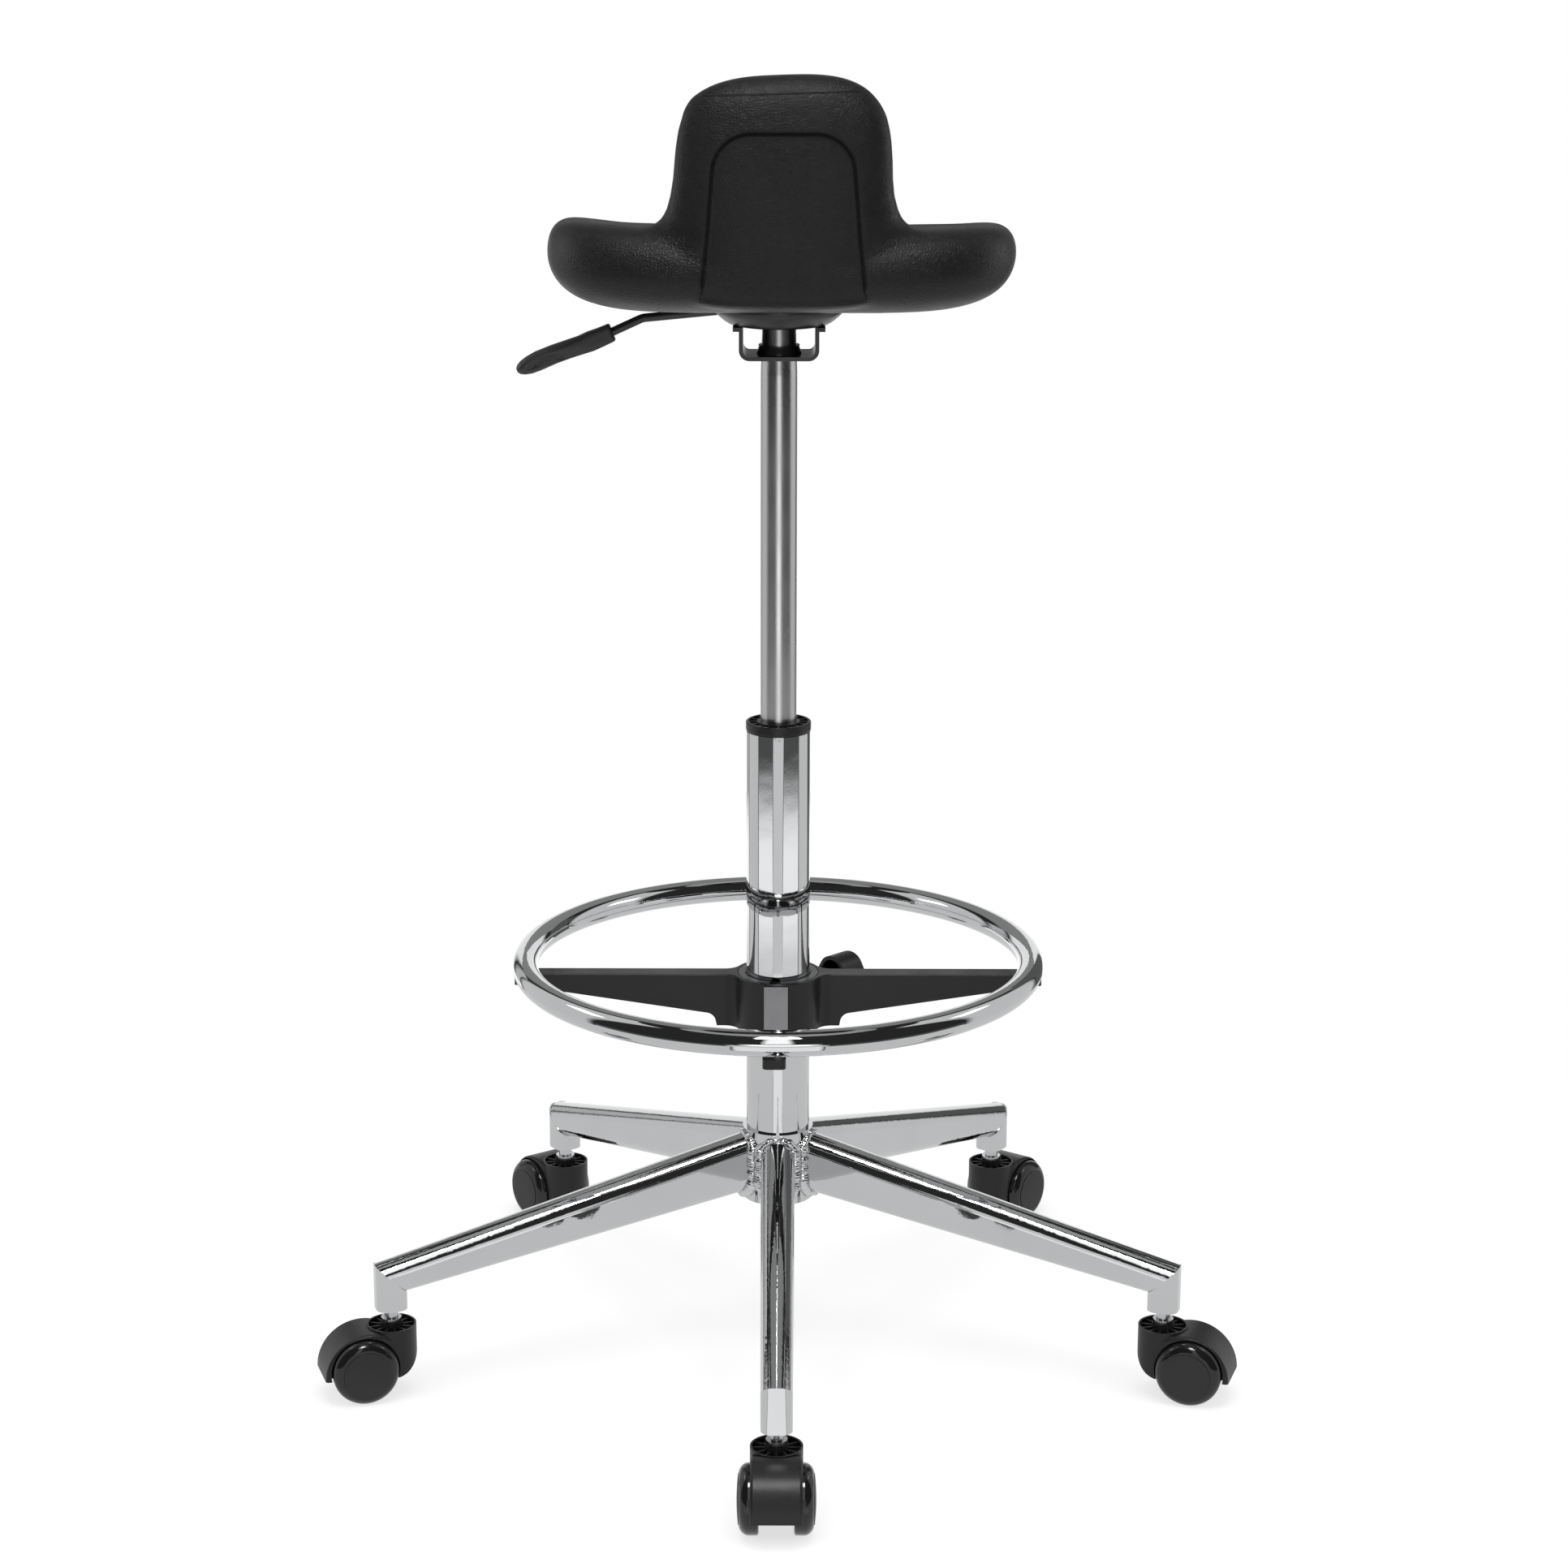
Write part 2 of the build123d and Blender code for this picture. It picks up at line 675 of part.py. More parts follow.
def radial_bar(radius, start_r, end_r):
    """Cylinder along the clamp screw's axis, between two distances from the column axis."""
    length = end_r - start_r
    bar = Pos(start_r + length / 2, 0, clamp_axis_z()) * Rot(0, 90, 0) * Cylinder(radius, length)
    return spin(bar, KNOB_ANGLE)


def spider_plan():
    """Outline from above: round hub, with concave fillets into the two arms."""
    plan = Circle(SPIDER_HUB_R) + Rectangle(2 * SPIDER_END_X, SPIDER_ARM_W)
    corners = [v for v in plan.vertices() if abs(v.X) < SPIDER_END_X - 1]
    return fillet(corners, SPIDER_WEB_R)


def spider_elevation():
    """Outline from the front: deep at the hub, arms rising to thin ends."""
    low = SPIDER_TOP_Z - SPIDER_HUB_H
    knee = (SPIDER_BLOCK_HALF + 2.0, SPIDER_TOP_Z - SPIDER_ROOT_H - 0.8)
    right = [
        (SPIDER_BLOCK_HALF, low),
        knee,
        (SPIDER_END_X, SPIDER_TOP_Z - SPIDER_END_H),
        (SPIDER_END_X, SPIDER_TOP_Z),
    ]
    left = [(-x, z) for x, z in reversed(right)]
    face = make_face(Polyline(*right, *left, close=True))
    knees = [v for v in face.vertices() if abs(abs(v.X) - knee[0]) < 0.1]
    return Plane.XZ * fillet(knees, SPIDER_ROOT_R)


def ring_spider():
    """Two-armed carrier of the foot ring: web arms, round hub, clamp boss and front pad."""
    low = SPIDER_TOP_Z - SPIDER_HUB_H
    body = Pos(0, 0, low) * extrude(spider_plan(), SPIDER_HUB_H)
    body &= extrude(spider_elevation(), 2 * SPIDER_HUB_R, dir=(0, 1, 0), both=True)
    body = chamfer(body.faces().sort_by(Axis.Z)[-1].outer_wire().edges(), SPIDER_EDGE_R)
    pad_y = SPIDER_HUB_R / 2 + SPIDER_PAD_PROUD / 2
    pad = Box(SPIDER_PAD_W, SPIDER_HUB_R + SPIDER_PAD_PROUD, SPIDER_HUB_H - 3)
    body += Pos(SPIDER_PAD_X, -pad_y, low + SPIDER_HUB_H / 2) * pad
    body += radial_bar(CLAMP_BOSS_R, 0, CLAMP_BOSS_END_R)
    body -= rod(sleeve_outer_r() + RUNNING, 0, COLUMN_TOP_Z)
    body -= rod(SLEEVE_FLANGE_R + FLANGE_GAP, sleeve_flange_z() - SEAT_GAP, COLUMN_TOP_Z)
    body -= radial_bar(INSERT_R, 0, CLAMP_BOSS_END_R + 1)
    body -= Pos(0, 0, ring_z()) * Torus(RING_R, RING_TUBE_R)
    for core in ring_screw_holes(RING_SCREW_R):
        body -= core
    for side in (-1, 1):
        body -= Pos(side * RING_R, 0, 0) * rod(RING_SCREW_HEAD_R + SEAT_GAP, 0, screw_flat_z())
    return body


def sleeve_flange_z():
    return SPIDER_TOP_Z - SLEEVE_FLANGE_T


def ring_sleeve():
    """Split plastic liner between the hub and the chromed column: flange on top, lip below."""
    low = SPIDER_TOP_Z - SPIDER_HUB_H - SEAT_GAP - 1.5
    outer_r = sleeve_outer_r()
    bore_r = COLUMN_R + RUNNING
    body = turned(
        [
            (bore_r, low),
            (outer_r + SLEEVE_LIP, low),
            (outer_r + SLEEVE_LIP, low + 1.5),
            (outer_r, low + 1.5),
            (outer_r, sleeve_flange_z()),
            (SLEEVE_FLANGE_R, sleeve_flange_z()),
            (SLEEVE_FLANGE_R, SPIDER_TOP_Z),
            (bore_r + SLEEVE_BEVEL, SPIDER_TOP_Z),
            (bore_r, SPIDER_TOP_Z - SLEEVE_BEVEL),
        ]
    )
    slit_h = SPIDER_TOP_Z - low + 2
    return body - Pos(SLEEVE_SLIT_X, -COLUMN_R - 3, low + slit_h / 2 - 1) * Box(SLEEVE_SLIT, 12, slit_h)


def clamp_insert():
    """Threaded brass insert in the hub's boss."""
    start = sleeve_outer_r() + 2 * SEAT_GAP
    body = radial_bar(INSERT_R, start, CLAMP_BOSS_END_R)
    return body - radial_bar(CLAMP_R + RUNNING, 0, CLAMP_BOSS_END_R + 1)


def clamp_screw():
    return radial_bar(CLAMP_R, sleeve_outer_r() + SEAT_GAP, KNOB_START_R + KNOB_T - 4)


def clamp_knob():
    """Three-lobed hand knob, hollow on the side of the hub, one lobe up."""
    lobe = Pos(0, KNOB_LOBE_AT) * Circle(KNOB_LOBE_R)
    outline = make_hull([e for k in range(KNOB_LOBES) for e in (Rot(0, 0, 120 * k) * lobe).edges()])
    solid = extrude(outline, KNOB_T)
    solid = fillet(solid.faces().sort_by(Axis.Z)[-1].edges(), 3.5)
    hollow = extrude(offset(outline, -3.0), KNOB_T - 5)
    solid = solid - hollow + rod(KNOB_BOSS_R, 0, KNOB_T - 4)
    solid -= rod(CLAMP_R, -1, KNOB_T - 4)
    place = Pos(KNOB_START_R, 0, clamp_axis_z()) * Rot(0, 90, 0) * Rot(0, 0, 90)
    return spin(place * solid, KNOB_ANGLE)


# ---------------------------------------------------------------- seat mechanism
def bracket_legs_top_z():
    return DISH_FLOOR_Z


def cone_bracket():
    """Steel strip bent to a U, welded under the dish by its out-turned lips."""
    low, top = BRACKET_BOTTOM_Z, bracket_legs_top_z()
    outer, inner = BRACKET_HALF, BRACKET_HALF - STRIP_T
    reach = BRACKET_HALF + BRACKET_LIP
    right = [
        (0, low),
        (outer, low),
        (outer, top - STRIP_T),
        (reach, top - STRIP_T),
        (reach, top),
        (inner, top),
        (inner, low + STRIP_T),
        (0, low + STRIP_T),
    ]
    side = slab(right, STRIP_DEPTH / 2)
    bends = side.edges().filter_by(Axis.Y)
    foot = bends.sort_by(lambda e: abs(e.center().X - outer) + abs(e.center().Z - low))[0]
    side = fillet(foot, BRACKET_BEND_R)
    bends = side.edges().filter_by(Axis.Y)
    throat = bends.sort_by(lambda e: abs(e.center().X - inner) + abs(e.center().Z - low - STRIP_T))[0]
    side = fillet(throat, BRACKET_BEND_R - STRIP_T)
    body = side + spin(side, 180)
    return body - rod(CYLINDER_R + SEAT_GAP, 0, top - STRIP_T)


def cone_collar():
    """Turned taper seat that grips the gas spring's head."""
    low = BRACKET_BOTTOM_Z + STRIP_T
    top = low + CONE_H
    return turned(
        [
            (taper_r(low), low),
            (CONE_FOOT_R, low),
            (CONE_FOOT_R - 0.4, low + 2),
            (CONE_TOP_R, top - 1.2),
            (CONE_TOP_R + 0.4, top),
            (taper_r(top), top),
        ]
    )


def neck_ring():
    top = DISH_FLOOR_Z
    low = top - NECK_RING_H
    return turned(
        [
            (taper_r(low), low),
            (NECK_RING_R, low),
            (NECK_RING_R, top),
            (taper_r(top), top),
        ]
    )


def lever_axis_z():
    return TAPER_TOP_Z + BUTTON_PROUD + SEAT_GAP + LEVER_R


def mechanism_dish():
    """Pressed steel dish that hides the lever's inner end."""
    side_low = DISH_FLOOR_Z + 1.4
    outer = Spline(
        (DISH_FLOOR_R, 0, DISH_FLOOR_Z),
        (DISH_FLOOR_R + 8, 0, side_low + 1.5),
        (DISH_RIM_R - 3, 0, DISH_FLOOR_Z + 8),
        (DISH_RIM_R, 0, PLATE_BOTTOM_Z - DISH_T),
        tangents=[(1, 0, 0.05), (0, 0, 1)],
    )
    inner = Spline(
        (DISH_FLOOR_R, 0, DISH_FLOOR_Z + DISH_T),
        (DISH_FLOOR_R + 7, 0, side_low + 1.5 + DISH_T),
        (DISH_RIM_R - 3 - DISH_T, 0, DISH_FLOOR_Z + 9),
        (DISH_RIM_R - DISH_T, 0, PLATE_BOTTOM_Z),
        tangents=[(1, 0, 0.05), (0, 0, 1)],
    )
    centre_r = taper_r(DISH_FLOOR_Z)
    edges = [
        Line((centre_r, 0, DISH_FLOOR_Z), outer @ 0),
        outer,
        Line(outer @ 1, (DISH_RIM_R + DISH_FLANGE_W, 0, PLATE_BOTTOM_Z - DISH_T)),
        Line(
            (DISH_RIM_R + DISH_FLANGE_W, 0, PLATE_BOTTOM_Z - DISH_T),
            (DISH_RIM_R + DISH_FLANGE_W, 0, PLATE_BOTTOM_Z),
        ),
        Line((DISH_RIM_R + DISH_FLANGE_W, 0, PLATE_BOTTOM_Z), inner @ 1),
        inner,
        Line(inner @ 0, (centre_r, 0, DISH_FLOOR_Z + DISH_T)),
        Line((centre_r, 0, DISH_FLOOR_Z + DISH_T), (centre_r, 0, DISH_FLOOR_Z)),
    ]
    body = revolve(make_face(edges), Axis.Z, 360)
    slot_w = 2 * LEVER_R + 3
    slot_low = lever_axis_z() - 2 * LEVER_R
    slot_top = PLATE_BOTTOM_Z + 1
    slot_x = -(DISH_RIM_R + DISH_FLANGE_W) / 2 - 8
    slot = Box(DISH_RIM_R + DISH_FLANGE_W - 10, slot_w, slot_top - slot_low)
    return body - Pos(slot_x - 4, 0, (slot_top + slot_low) / 2) * slot


def bolt_places():
    half_x, half_y = BOLT_SPACING_X / 2, BOLT_SPACING_Y / 2
    return [Pos(x, y, 0) for x in (-half_x, half_x) for y in (-half_y, half_y)]


def seat_plate():
    outline = RectangleRounded(2 * PLATE_HALF_X, 2 * PLATE_HALF_Y, PLATE_CORNER_R)
    body = Pos(0, 0, PLATE_BOTTOM_Z) * extrude(outline, PLATE_T)
    for place in bolt_places():
        body -= place * rod(BOLT_R, 0, PLATE_BOTTOM_Z + 20)
    return body - lever_slot()


def lever_slot():
    """Slot in the plate that lets the rod rise as it tilts."""
    inner_x = LEVER_INNER_X + LEVER_R
    outer_x = LEVER_PIVOT_X - LEVER_SLOT_REACH
    width = 2 * (LEVER_R + SEAT_GAP)
    outline = SlotOverall(inner_x - outer_x, width)
    middle = Pos((inner_x + outer_x) / 2, 0, PLATE_BOTTOM_Z - 1)
    return middle * extrude(outline, PLATE_T + 2)


def seat_screws():
    low = PLATE_BOTTOM_Z - BOLT_HEAD_H
    top = seat_base_z() + BOARD_T - 1
    screw = rod(BOLT_HEAD_R, low, PLATE_BOTTOM_Z) + rod(BOLT_R, low, top)
    return [place * screw for place in bolt_places()]


def seat_base_z():
    return PLATE_BOTTOM_Z + PLATE_T


def board_block():
    outline = RectangleRounded(2 * BOARD_HALF_X, 2 * BOARD_HALF_Y, PLATE_CORNER_R)
    return Pos(0, 0, seat_base_z()) * extrude(outline, BOARD_T)


def seat_board():
    """Plywood board moulded into the foam's underside, which takes the four screws."""
    board = board_block()
    for place in bolt_places():
        board -= place * rod(BOLT_R, 0, seat_base_z() + BOARD_T - 1)
    return board


def lever_clip():
    """Two ears under the plate that carry the lever's cross pin."""
    axis_z = lever_axis_z()
    height = PLATE_BOTTOM_Z - axis_z + EAR_W / 2
    pin_hole = Pos(LEVER_PIVOT_X, 0, axis_z) * Rot(90, 0, 0) * Cylinder(LEVER_PIVOT_R, 60)
    ears = []
    for side in (-1, 1):
        y = side * (LEVER_R + SEAT_GAP + EAR_T / 2)
        ear = Pos(LEVER_PIVOT_X, y, PLATE_BOTTOM_Z - height / 2) * Box(EAR_W, EAR_T, height)
        ears.append(ear - pin_hole)
    return ears


def lever_points():
    z = lever_axis_z()
    return [
        (LEVER_INNER_X, 0, z),
        (LEVER_PIVOT_X - 6, 0, z),
        (LEVER_BEND_X, 0, z - LEVER_BEND_DROP),
        (LEVER_GRIP_X, 0, z - LEVER_GRIP_DROP),
    ]


def grip_direction():
    """Unit vector along the lever's outer end."""
    points = lever_points()
    return (Vector(*points[-1]) - Vector(*points[-2])).normalized()


def lever_pin():
    return Pos(LEVER_PIVOT_X, 0, lever_axis_z()) * Rot(90, 0, 0) * Cylinder(
        LEVER_PIVOT_R - RUNNING, 2 * (LEVER_R + SEAT_GAP + EAR_T)
    )


def release_lever():
    points = lever_points()
    end = Vector(*points[-1]) + grip_direction() * HANDLE_OVERLAP
    path = FilletPolyline(*points[:-1], tuple(end), radius=14.0)
    bar = sweep(Plane(path @ 0, z_dir=path % 0) * Circle(LEVER_R), path=path)
    return bar + lever_pin()


def lever_handle():
    """Moulded paddle: square root that turns into a thin rounded blade."""
    root = Vector(*lever_points()[-1])
    along = grip_direction()
    stations = [
        (0.0, 7.3, 5.6, 0.0, 0.35),
        (0.30, 7.3, 5.6, 0.3, 0.35),
        (0.46, 6.4, 6.4, 1.6, 0.7),
        (0.66, 6.0, 7.0, 2.4, 0.8),
        (0.88, 5.4, 6.6, 2.6, 0.8),
        (1.0, 2.4, 3.4, 2.4, 0.8),
    ]
    sections = []
    for share, half_h, half_y, rise, rounding in stations:
        origin = root + along * (share * HANDLE_LENGTH) + Vector(0, 0, rise)
        plane = Plane(origin=origin, x_dir=(0, 1, 0), z_dir=along)
        corner = min(half_h, half_y) * rounding
        sections.append(plane * RectangleRounded(2 * half_y, 2 * half_h, corner))
    return loft(sections) - release_lever()


# ---------------------------------------------------------------- seat foam
def share(x, power, root):
    """1 at the middle of the seat and 0 at its side, as a rounded outline falls."""
    return (1 - (abs(x) / SEAT_HALF_W) ** power) ** (1 / root)


def seat_section(x):
    """Closed outline of the cushion in the plane at x."""
    across = share(x, SEAT_PLAN_POWER, SEAT_PLAN_POWER)
    back = SEAT_WIDEST_Y + (SEAT_BACK_Y - SEAT_WIDEST_Y) * across
    front = SEAT_WIDEST_Y + (SEAT_FRONT_Y - SEAT_WIDEST_Y) * across
    rise = WING_TOP_Z - WING_TIP_Z + WING_RISE * (x / SEAT_HALF_W) ** 2
    top = WING_TIP_Z + rise * share(x, 9, 2)
    low = WING_TIP_Z - (WING_TIP_Z - SEAT_LOW_Z) * share(x, 4, 2)

    def top_at(y):
        return top - SEAT_FALL * max(0.0, y - SEAT_BACK_Y - 42)

    length = front - back
    rear = back + min(REAR_ROUND, 0.34 * length)
    fore = front - min(FRONT_ROUND, 0.4 * length)
    middle = (rear + fore) / 2
    corner = 1 - math.sqrt(0.5)
    rear_r, fore_r = (top - low) / 2, (top_at(fore) - low) / 2
    rear_y, fore_y = back + corner * (rear - back), front - corner * (front - fore)
    points = [
        (back, low + rear_r),
        (rear_y, top - corner * rear_r),
        (rear, top_at(rear)),
        (middle, top_at(middle)),
        (fore, top_at(fore)),
        (fore_y, top_at(fore) - corner * fore_r),
        (front, low + fore_r),
        (fore_y, low + corner * fore_r),
        (fore, low),
        (middle, low),
        (rear, low),
        (rear_y, low + corner * rear_r),
    ]
    return Face(Wire([Spline(*[(x, y, z) for y, z in points], periodic=True)]))


def cushion():
    """The seat's cushion, lofted from side to side."""
    outer = [SEAT_HALF_W * math.sin(math.radians(a)) for a in SEAT_STATION_ANGLES]
    stations = [-x for x in reversed(outer[1:])] + outer
    tips = [Vertex(side * SEAT_HALF_W, SEAT_WIDEST_Y, WING_TIP_Z) for side in (-1, 1)]
    return loft([tips[0], *[seat_section(x) for x in stations], tips[1]])


def hump_ring(height, half_w, back, front):
    """Rounded outline of the short back at one height."""
    count = 16
    points = []
    for index in range(count):
        turn = 2 * math.pi * index / count
        wide, deep = math.cos(turn), math.sin(turn)
        x = half_w * math.copysign(abs(wide) ** (2 / HUMP_POWER), wide)
        y = math.copysign(abs(deep) ** (2 / HUMP_POWER), deep) * (front - back) / 2
        points.append((x, (back + front) / 2 + y, height))
    return Face(Wire([Spline(*points, periodic=True)]))


def back_panel():
    """Arched recess pressed into the outer face of the back."""
    outline = Polyline(
        (-PANEL_HALF_LOW, PANEL_LOW_Z),
        (-PANEL_HALF_TOP, PANEL_TOP_Z),
        (PANEL_HALF_TOP, PANEL_TOP_Z),
        (PANEL_HALF_LOW, PANEL_LOW_Z),
        close=True,
    )
    face = make_face(outline)
    upper = face.vertices().sort_by(Axis.Y)[-2:]
    block = extrude(Plane.XZ * fillet(upper, PANEL_CORNER_R), 60, dir=(0, 1, 0))
    return Pos(0, SEAT_BACK_Y - 60 + PANEL_DEPTH, 0) * block


def seat_foam():
    """Integral-skin foam: rounded cushion and short back in one closed body."""
    body = cushion() + loft([hump_ring(*ring) for ring in HUMP_RINGS])
    body &= Pos(0, 0, seat_base_z() + HUMP_TOP_Z / 2) * Box(600, 600, HUMP_TOP_Z)
    body = Pos(SEAT_OFFSET_X, 0, 0) * (body - back_panel())
    return body - board_block()


# ---------------------------------------------------------------- everything
def main():
    os.makedirs("parts", exist_ok=True)
    save_base()
    save_casters()
    save("column_tube", column_tube())
    save("ring_stop", ring_stop())
    save("guide_bush", guide_bush())
    save("column_end_plate", end_plate())
    save("thrust_bearing", *thrust_bearing())
    save("piston_rod", piston_rod())
    save("bearing_top_race", bearing_top_race())
    save("rod_bumper", rod_bumper())
    save("rod_clip", rod_clip())
    save("gas_cylinder", gas_cylinder())
    save("cylinder_end_guide", cylinder_end_guide())
    save("valve_button", valve_button())
    save("foot_ring", foot_ring())
    save("ring_screws", *ring_screws())
    save("ring_spider", ring_spider())
    save("ring_sleeve", ring_sleeve())
    save("clamp_insert", clamp_insert())
    save("clamp_screw", clamp_screw())
    save("clamp_knob", clamp_knob())
    save("cone_bracket", cone_bracket())
    save("cone_collar", cone_collar())
    save("neck_ring", neck_ring())
    save("mechanism_dish", mechanism_dish())
    save("seat_plate", seat_plate())
    save("seat_screws", *seat_screws())
    save("seat_board", seat_board())
    save("lever_clip", *lever_clip())
    save("release_lever", release_lever())
    save("lever_handle", lever_handle())
    save("seat_foam", seat_foam())


main()
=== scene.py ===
import math

import bmesh
import bpy
import numpy as np
from mathutils import Matrix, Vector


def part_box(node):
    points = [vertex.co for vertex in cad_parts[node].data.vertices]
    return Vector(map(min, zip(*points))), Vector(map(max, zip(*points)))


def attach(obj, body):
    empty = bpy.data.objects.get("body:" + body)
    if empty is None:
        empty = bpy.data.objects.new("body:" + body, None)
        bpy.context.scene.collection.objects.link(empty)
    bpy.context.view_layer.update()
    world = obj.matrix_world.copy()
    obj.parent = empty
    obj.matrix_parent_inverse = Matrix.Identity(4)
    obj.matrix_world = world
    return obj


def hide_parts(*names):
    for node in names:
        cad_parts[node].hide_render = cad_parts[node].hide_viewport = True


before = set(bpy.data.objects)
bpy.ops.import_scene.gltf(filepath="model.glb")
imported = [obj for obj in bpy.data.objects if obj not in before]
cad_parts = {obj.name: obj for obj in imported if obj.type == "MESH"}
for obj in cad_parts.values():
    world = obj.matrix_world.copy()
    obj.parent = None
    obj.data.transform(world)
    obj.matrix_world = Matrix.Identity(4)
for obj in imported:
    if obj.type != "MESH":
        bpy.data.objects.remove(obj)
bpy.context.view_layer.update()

MM = 0.001


# ------------------------ helpers
def srgb(code):
    """An sRGB hex colour as the linear RGBA that a colour socket takes."""
    parts = [int(code[at:at + 2], 16) / 255 for at in (1, 3, 5)]
    linear = [part / 12.92 if part <= 0.04045 else ((part + 0.055) / 1.055) ** 2.4 for part in parts]
    return (*linear, 1.0)


def add_node(tree, kind, inputs=None, **settings):
    """Adds a node. An input is either a constant or the output socket that feeds it."""
    node = tree.nodes.new(kind)
    for name, value in settings.items():
        setattr(node, name, value)
    for key, value in (inputs or {}).items():
        if isinstance(value, bpy.types.NodeSocket):
            tree.links.new(value, node.inputs[key])
        else:
            node.inputs[key].default_value = value
    return node


def empty_material(name):
    """A material whose node tree is still empty, and that tree."""
    material = bpy.data.materials.new(name)
    material.use_nodes = True
    material.node_tree.nodes.clear()
    return material, material.node_tree


def start_material(name, **constants):
    """A material with one shader on its output, and that shader's constant inputs."""
    material, tree = empty_material(name)
    inputs = {key.replace("_", " "): value for key, value in constants.items()}
    shader = add_node(tree, "ShaderNodeBsdfPrincipled", inputs)
    add_node(tree, "ShaderNodeOutputMaterial", {"Surface": shader.outputs["BSDF"]})
    return material, tree, shader


def new_object(name, data):
    """An object in the scene, at the origin."""
    obj = bpy.data.objects.new(name, data)
    bpy.context.scene.collection.objects.link(obj)
    return obj


def mesh_object(name, points, faces, smooth=True):
    """A mesh object at the origin. Points are in metres."""
    mesh = bpy.data.meshes.new(name)
    mesh.from_pydata([tuple(point) for point in points], [], [tuple(face) for face in faces])
    mesh.validate()
    mesh.polygons.foreach_set("use_smooth", [smooth] * len(mesh.polygons))
    mesh.update()
    return new_object(name, mesh)


def point_attribute(mesh, name, values):
    """One number at each point of a mesh, which its material reads by name."""
    mesh.attributes.new(name, "FLOAT", "POINT").data.foreach_set("value", values)


def apply_modifiers(obj):
    """Replaces an object's mesh with what its modifiers make of it."""
    graph = bpy.context.evaluated_depsgraph_get()
    mesh = bpy.data.meshes.new_from_object(obj.evaluated_get(graph))
    obj.modifiers.clear()
    obj.data = mesh


def outwards(obj):
    """Turns the faces of a closed mesh outwards."""
    shell = bmesh.new()
    shell.from_mesh(obj.data)
    bmesh.ops.recalc_face_normals(shell, faces=shell.faces)
    shell.to_mesh(obj.data)
    shell.free()


def smooth_step(value, low, high):
    """0 below low, 1 above high, with an even curve between."""
    t = np.clip((value - low) / (high - low), 0, 1)
    return t * t * (3 - 2 * t)


# ------------------------ materials
def chromium_plate():
    # Bright chromium over polished steel tube: a near mirror, with the polisher's slight waves
    # and a faint haze of handling that breaks up the edges of its reflections.
    material, tree, shader = start_material("Chromium_plate", Metallic=1.0)
    place = add_node(tree, "ShaderNodeTexCoord").outputs["Object"]
    waves, pits, haze = (
        add_node(tree, "ShaderNodeTexNoise", {"Vector": place, "Scale": scale, "Detail": detail})
        for scale, detail in ((45.0, 1.0), (420.0, 2.0), (18.0, 3.0))
    )
    wavy = add_node(tree, "ShaderNodeBump", {"Height": waves.outputs["Fac"], "Distance": 0.00009})
    fine = add_node(
        tree,
        "ShaderNodeBump",
        {"Height": pits.outputs["Fac"], "Distance": 0.000006, "Normal": wavy.outputs["Normal"]},
    )
    rough = add_node(
        tree,
        "ShaderNodeMapRange",
        {"Value": haze.outputs["Fac"], "From Min": 0.35, "From Max": 0.75, "To Min": 0.015, "To Max": 0.05},
    )
    colour = add_node(
        tree,
        "ShaderNodeMix",
        {"Factor": haze.outputs["Fac"], "A": srgb("#CFD0D1"), "B": srgb("#C6C7C8")},
        data_type="RGBA",
    )
    tree.links.new(colour.outputs["Result"], shader.inputs["Base Color"])
    tree.links.new(rough.outputs["Result"], shader.inputs["Roughness"])
    tree.links.new(fine.outputs["Normal"], shader.inputs["Normal"])
    return material


def drawn_steel():
    # Bright drawn and honed steel of the gas spring: a satin metal. Its lines run along it and
    # spread the light sideways. Real ones are about 0.1 mm apart, and are drawn at 1 mm to show.
    material, tree, shader = start_material("Drawn_honed_steel", Metallic=1.0)
    place = add_node(tree, "ShaderNodeTexCoord").outputs["Object"]
    along = add_node(tree, "ShaderNodeMapping", {"Vector": place, "Scale": (1.0, 1.0, 0.008)})
    lines = add_node(
        tree, "ShaderNodeTexNoise", {"Vector": along.outputs["Vector"], "Scale": 700.0, "Detail": 2.0}
    )
    drift = add_node(tree, "ShaderNodeTexNoise", {"Vector": place, "Scale": 22.0, "Detail": 2.0})
    rough = add_node(
        tree,
        "ShaderNodeMapRange",
        {"Value": drift.outputs["Fac"], "From Min": 0.3, "From Max": 0.7, "To Min": 0.26, "To Max": 0.33},
    )
    colour = add_node(
        tree,
        "ShaderNodeMix",
        {"Factor": lines.outputs["Fac"], "A": srgb("#B4B4B5"), "B": srgb("#C8C8C9")},
        data_type="RGBA",
    )
    bump = add_node(
        tree, "ShaderNodeBump", {"Height": lines.outputs["Fac"], "Distance": 0.000012, "Strength": 0.5}
    )
    tree.links.new(colour.outputs["Result"], shader.inputs["Base Color"])
    tree.links.new(rough.outputs["Result"], shader.inputs["Roughness"])
    tree.links.new(bump.outputs["Normal"], shader.inputs["Normal"])
    return material


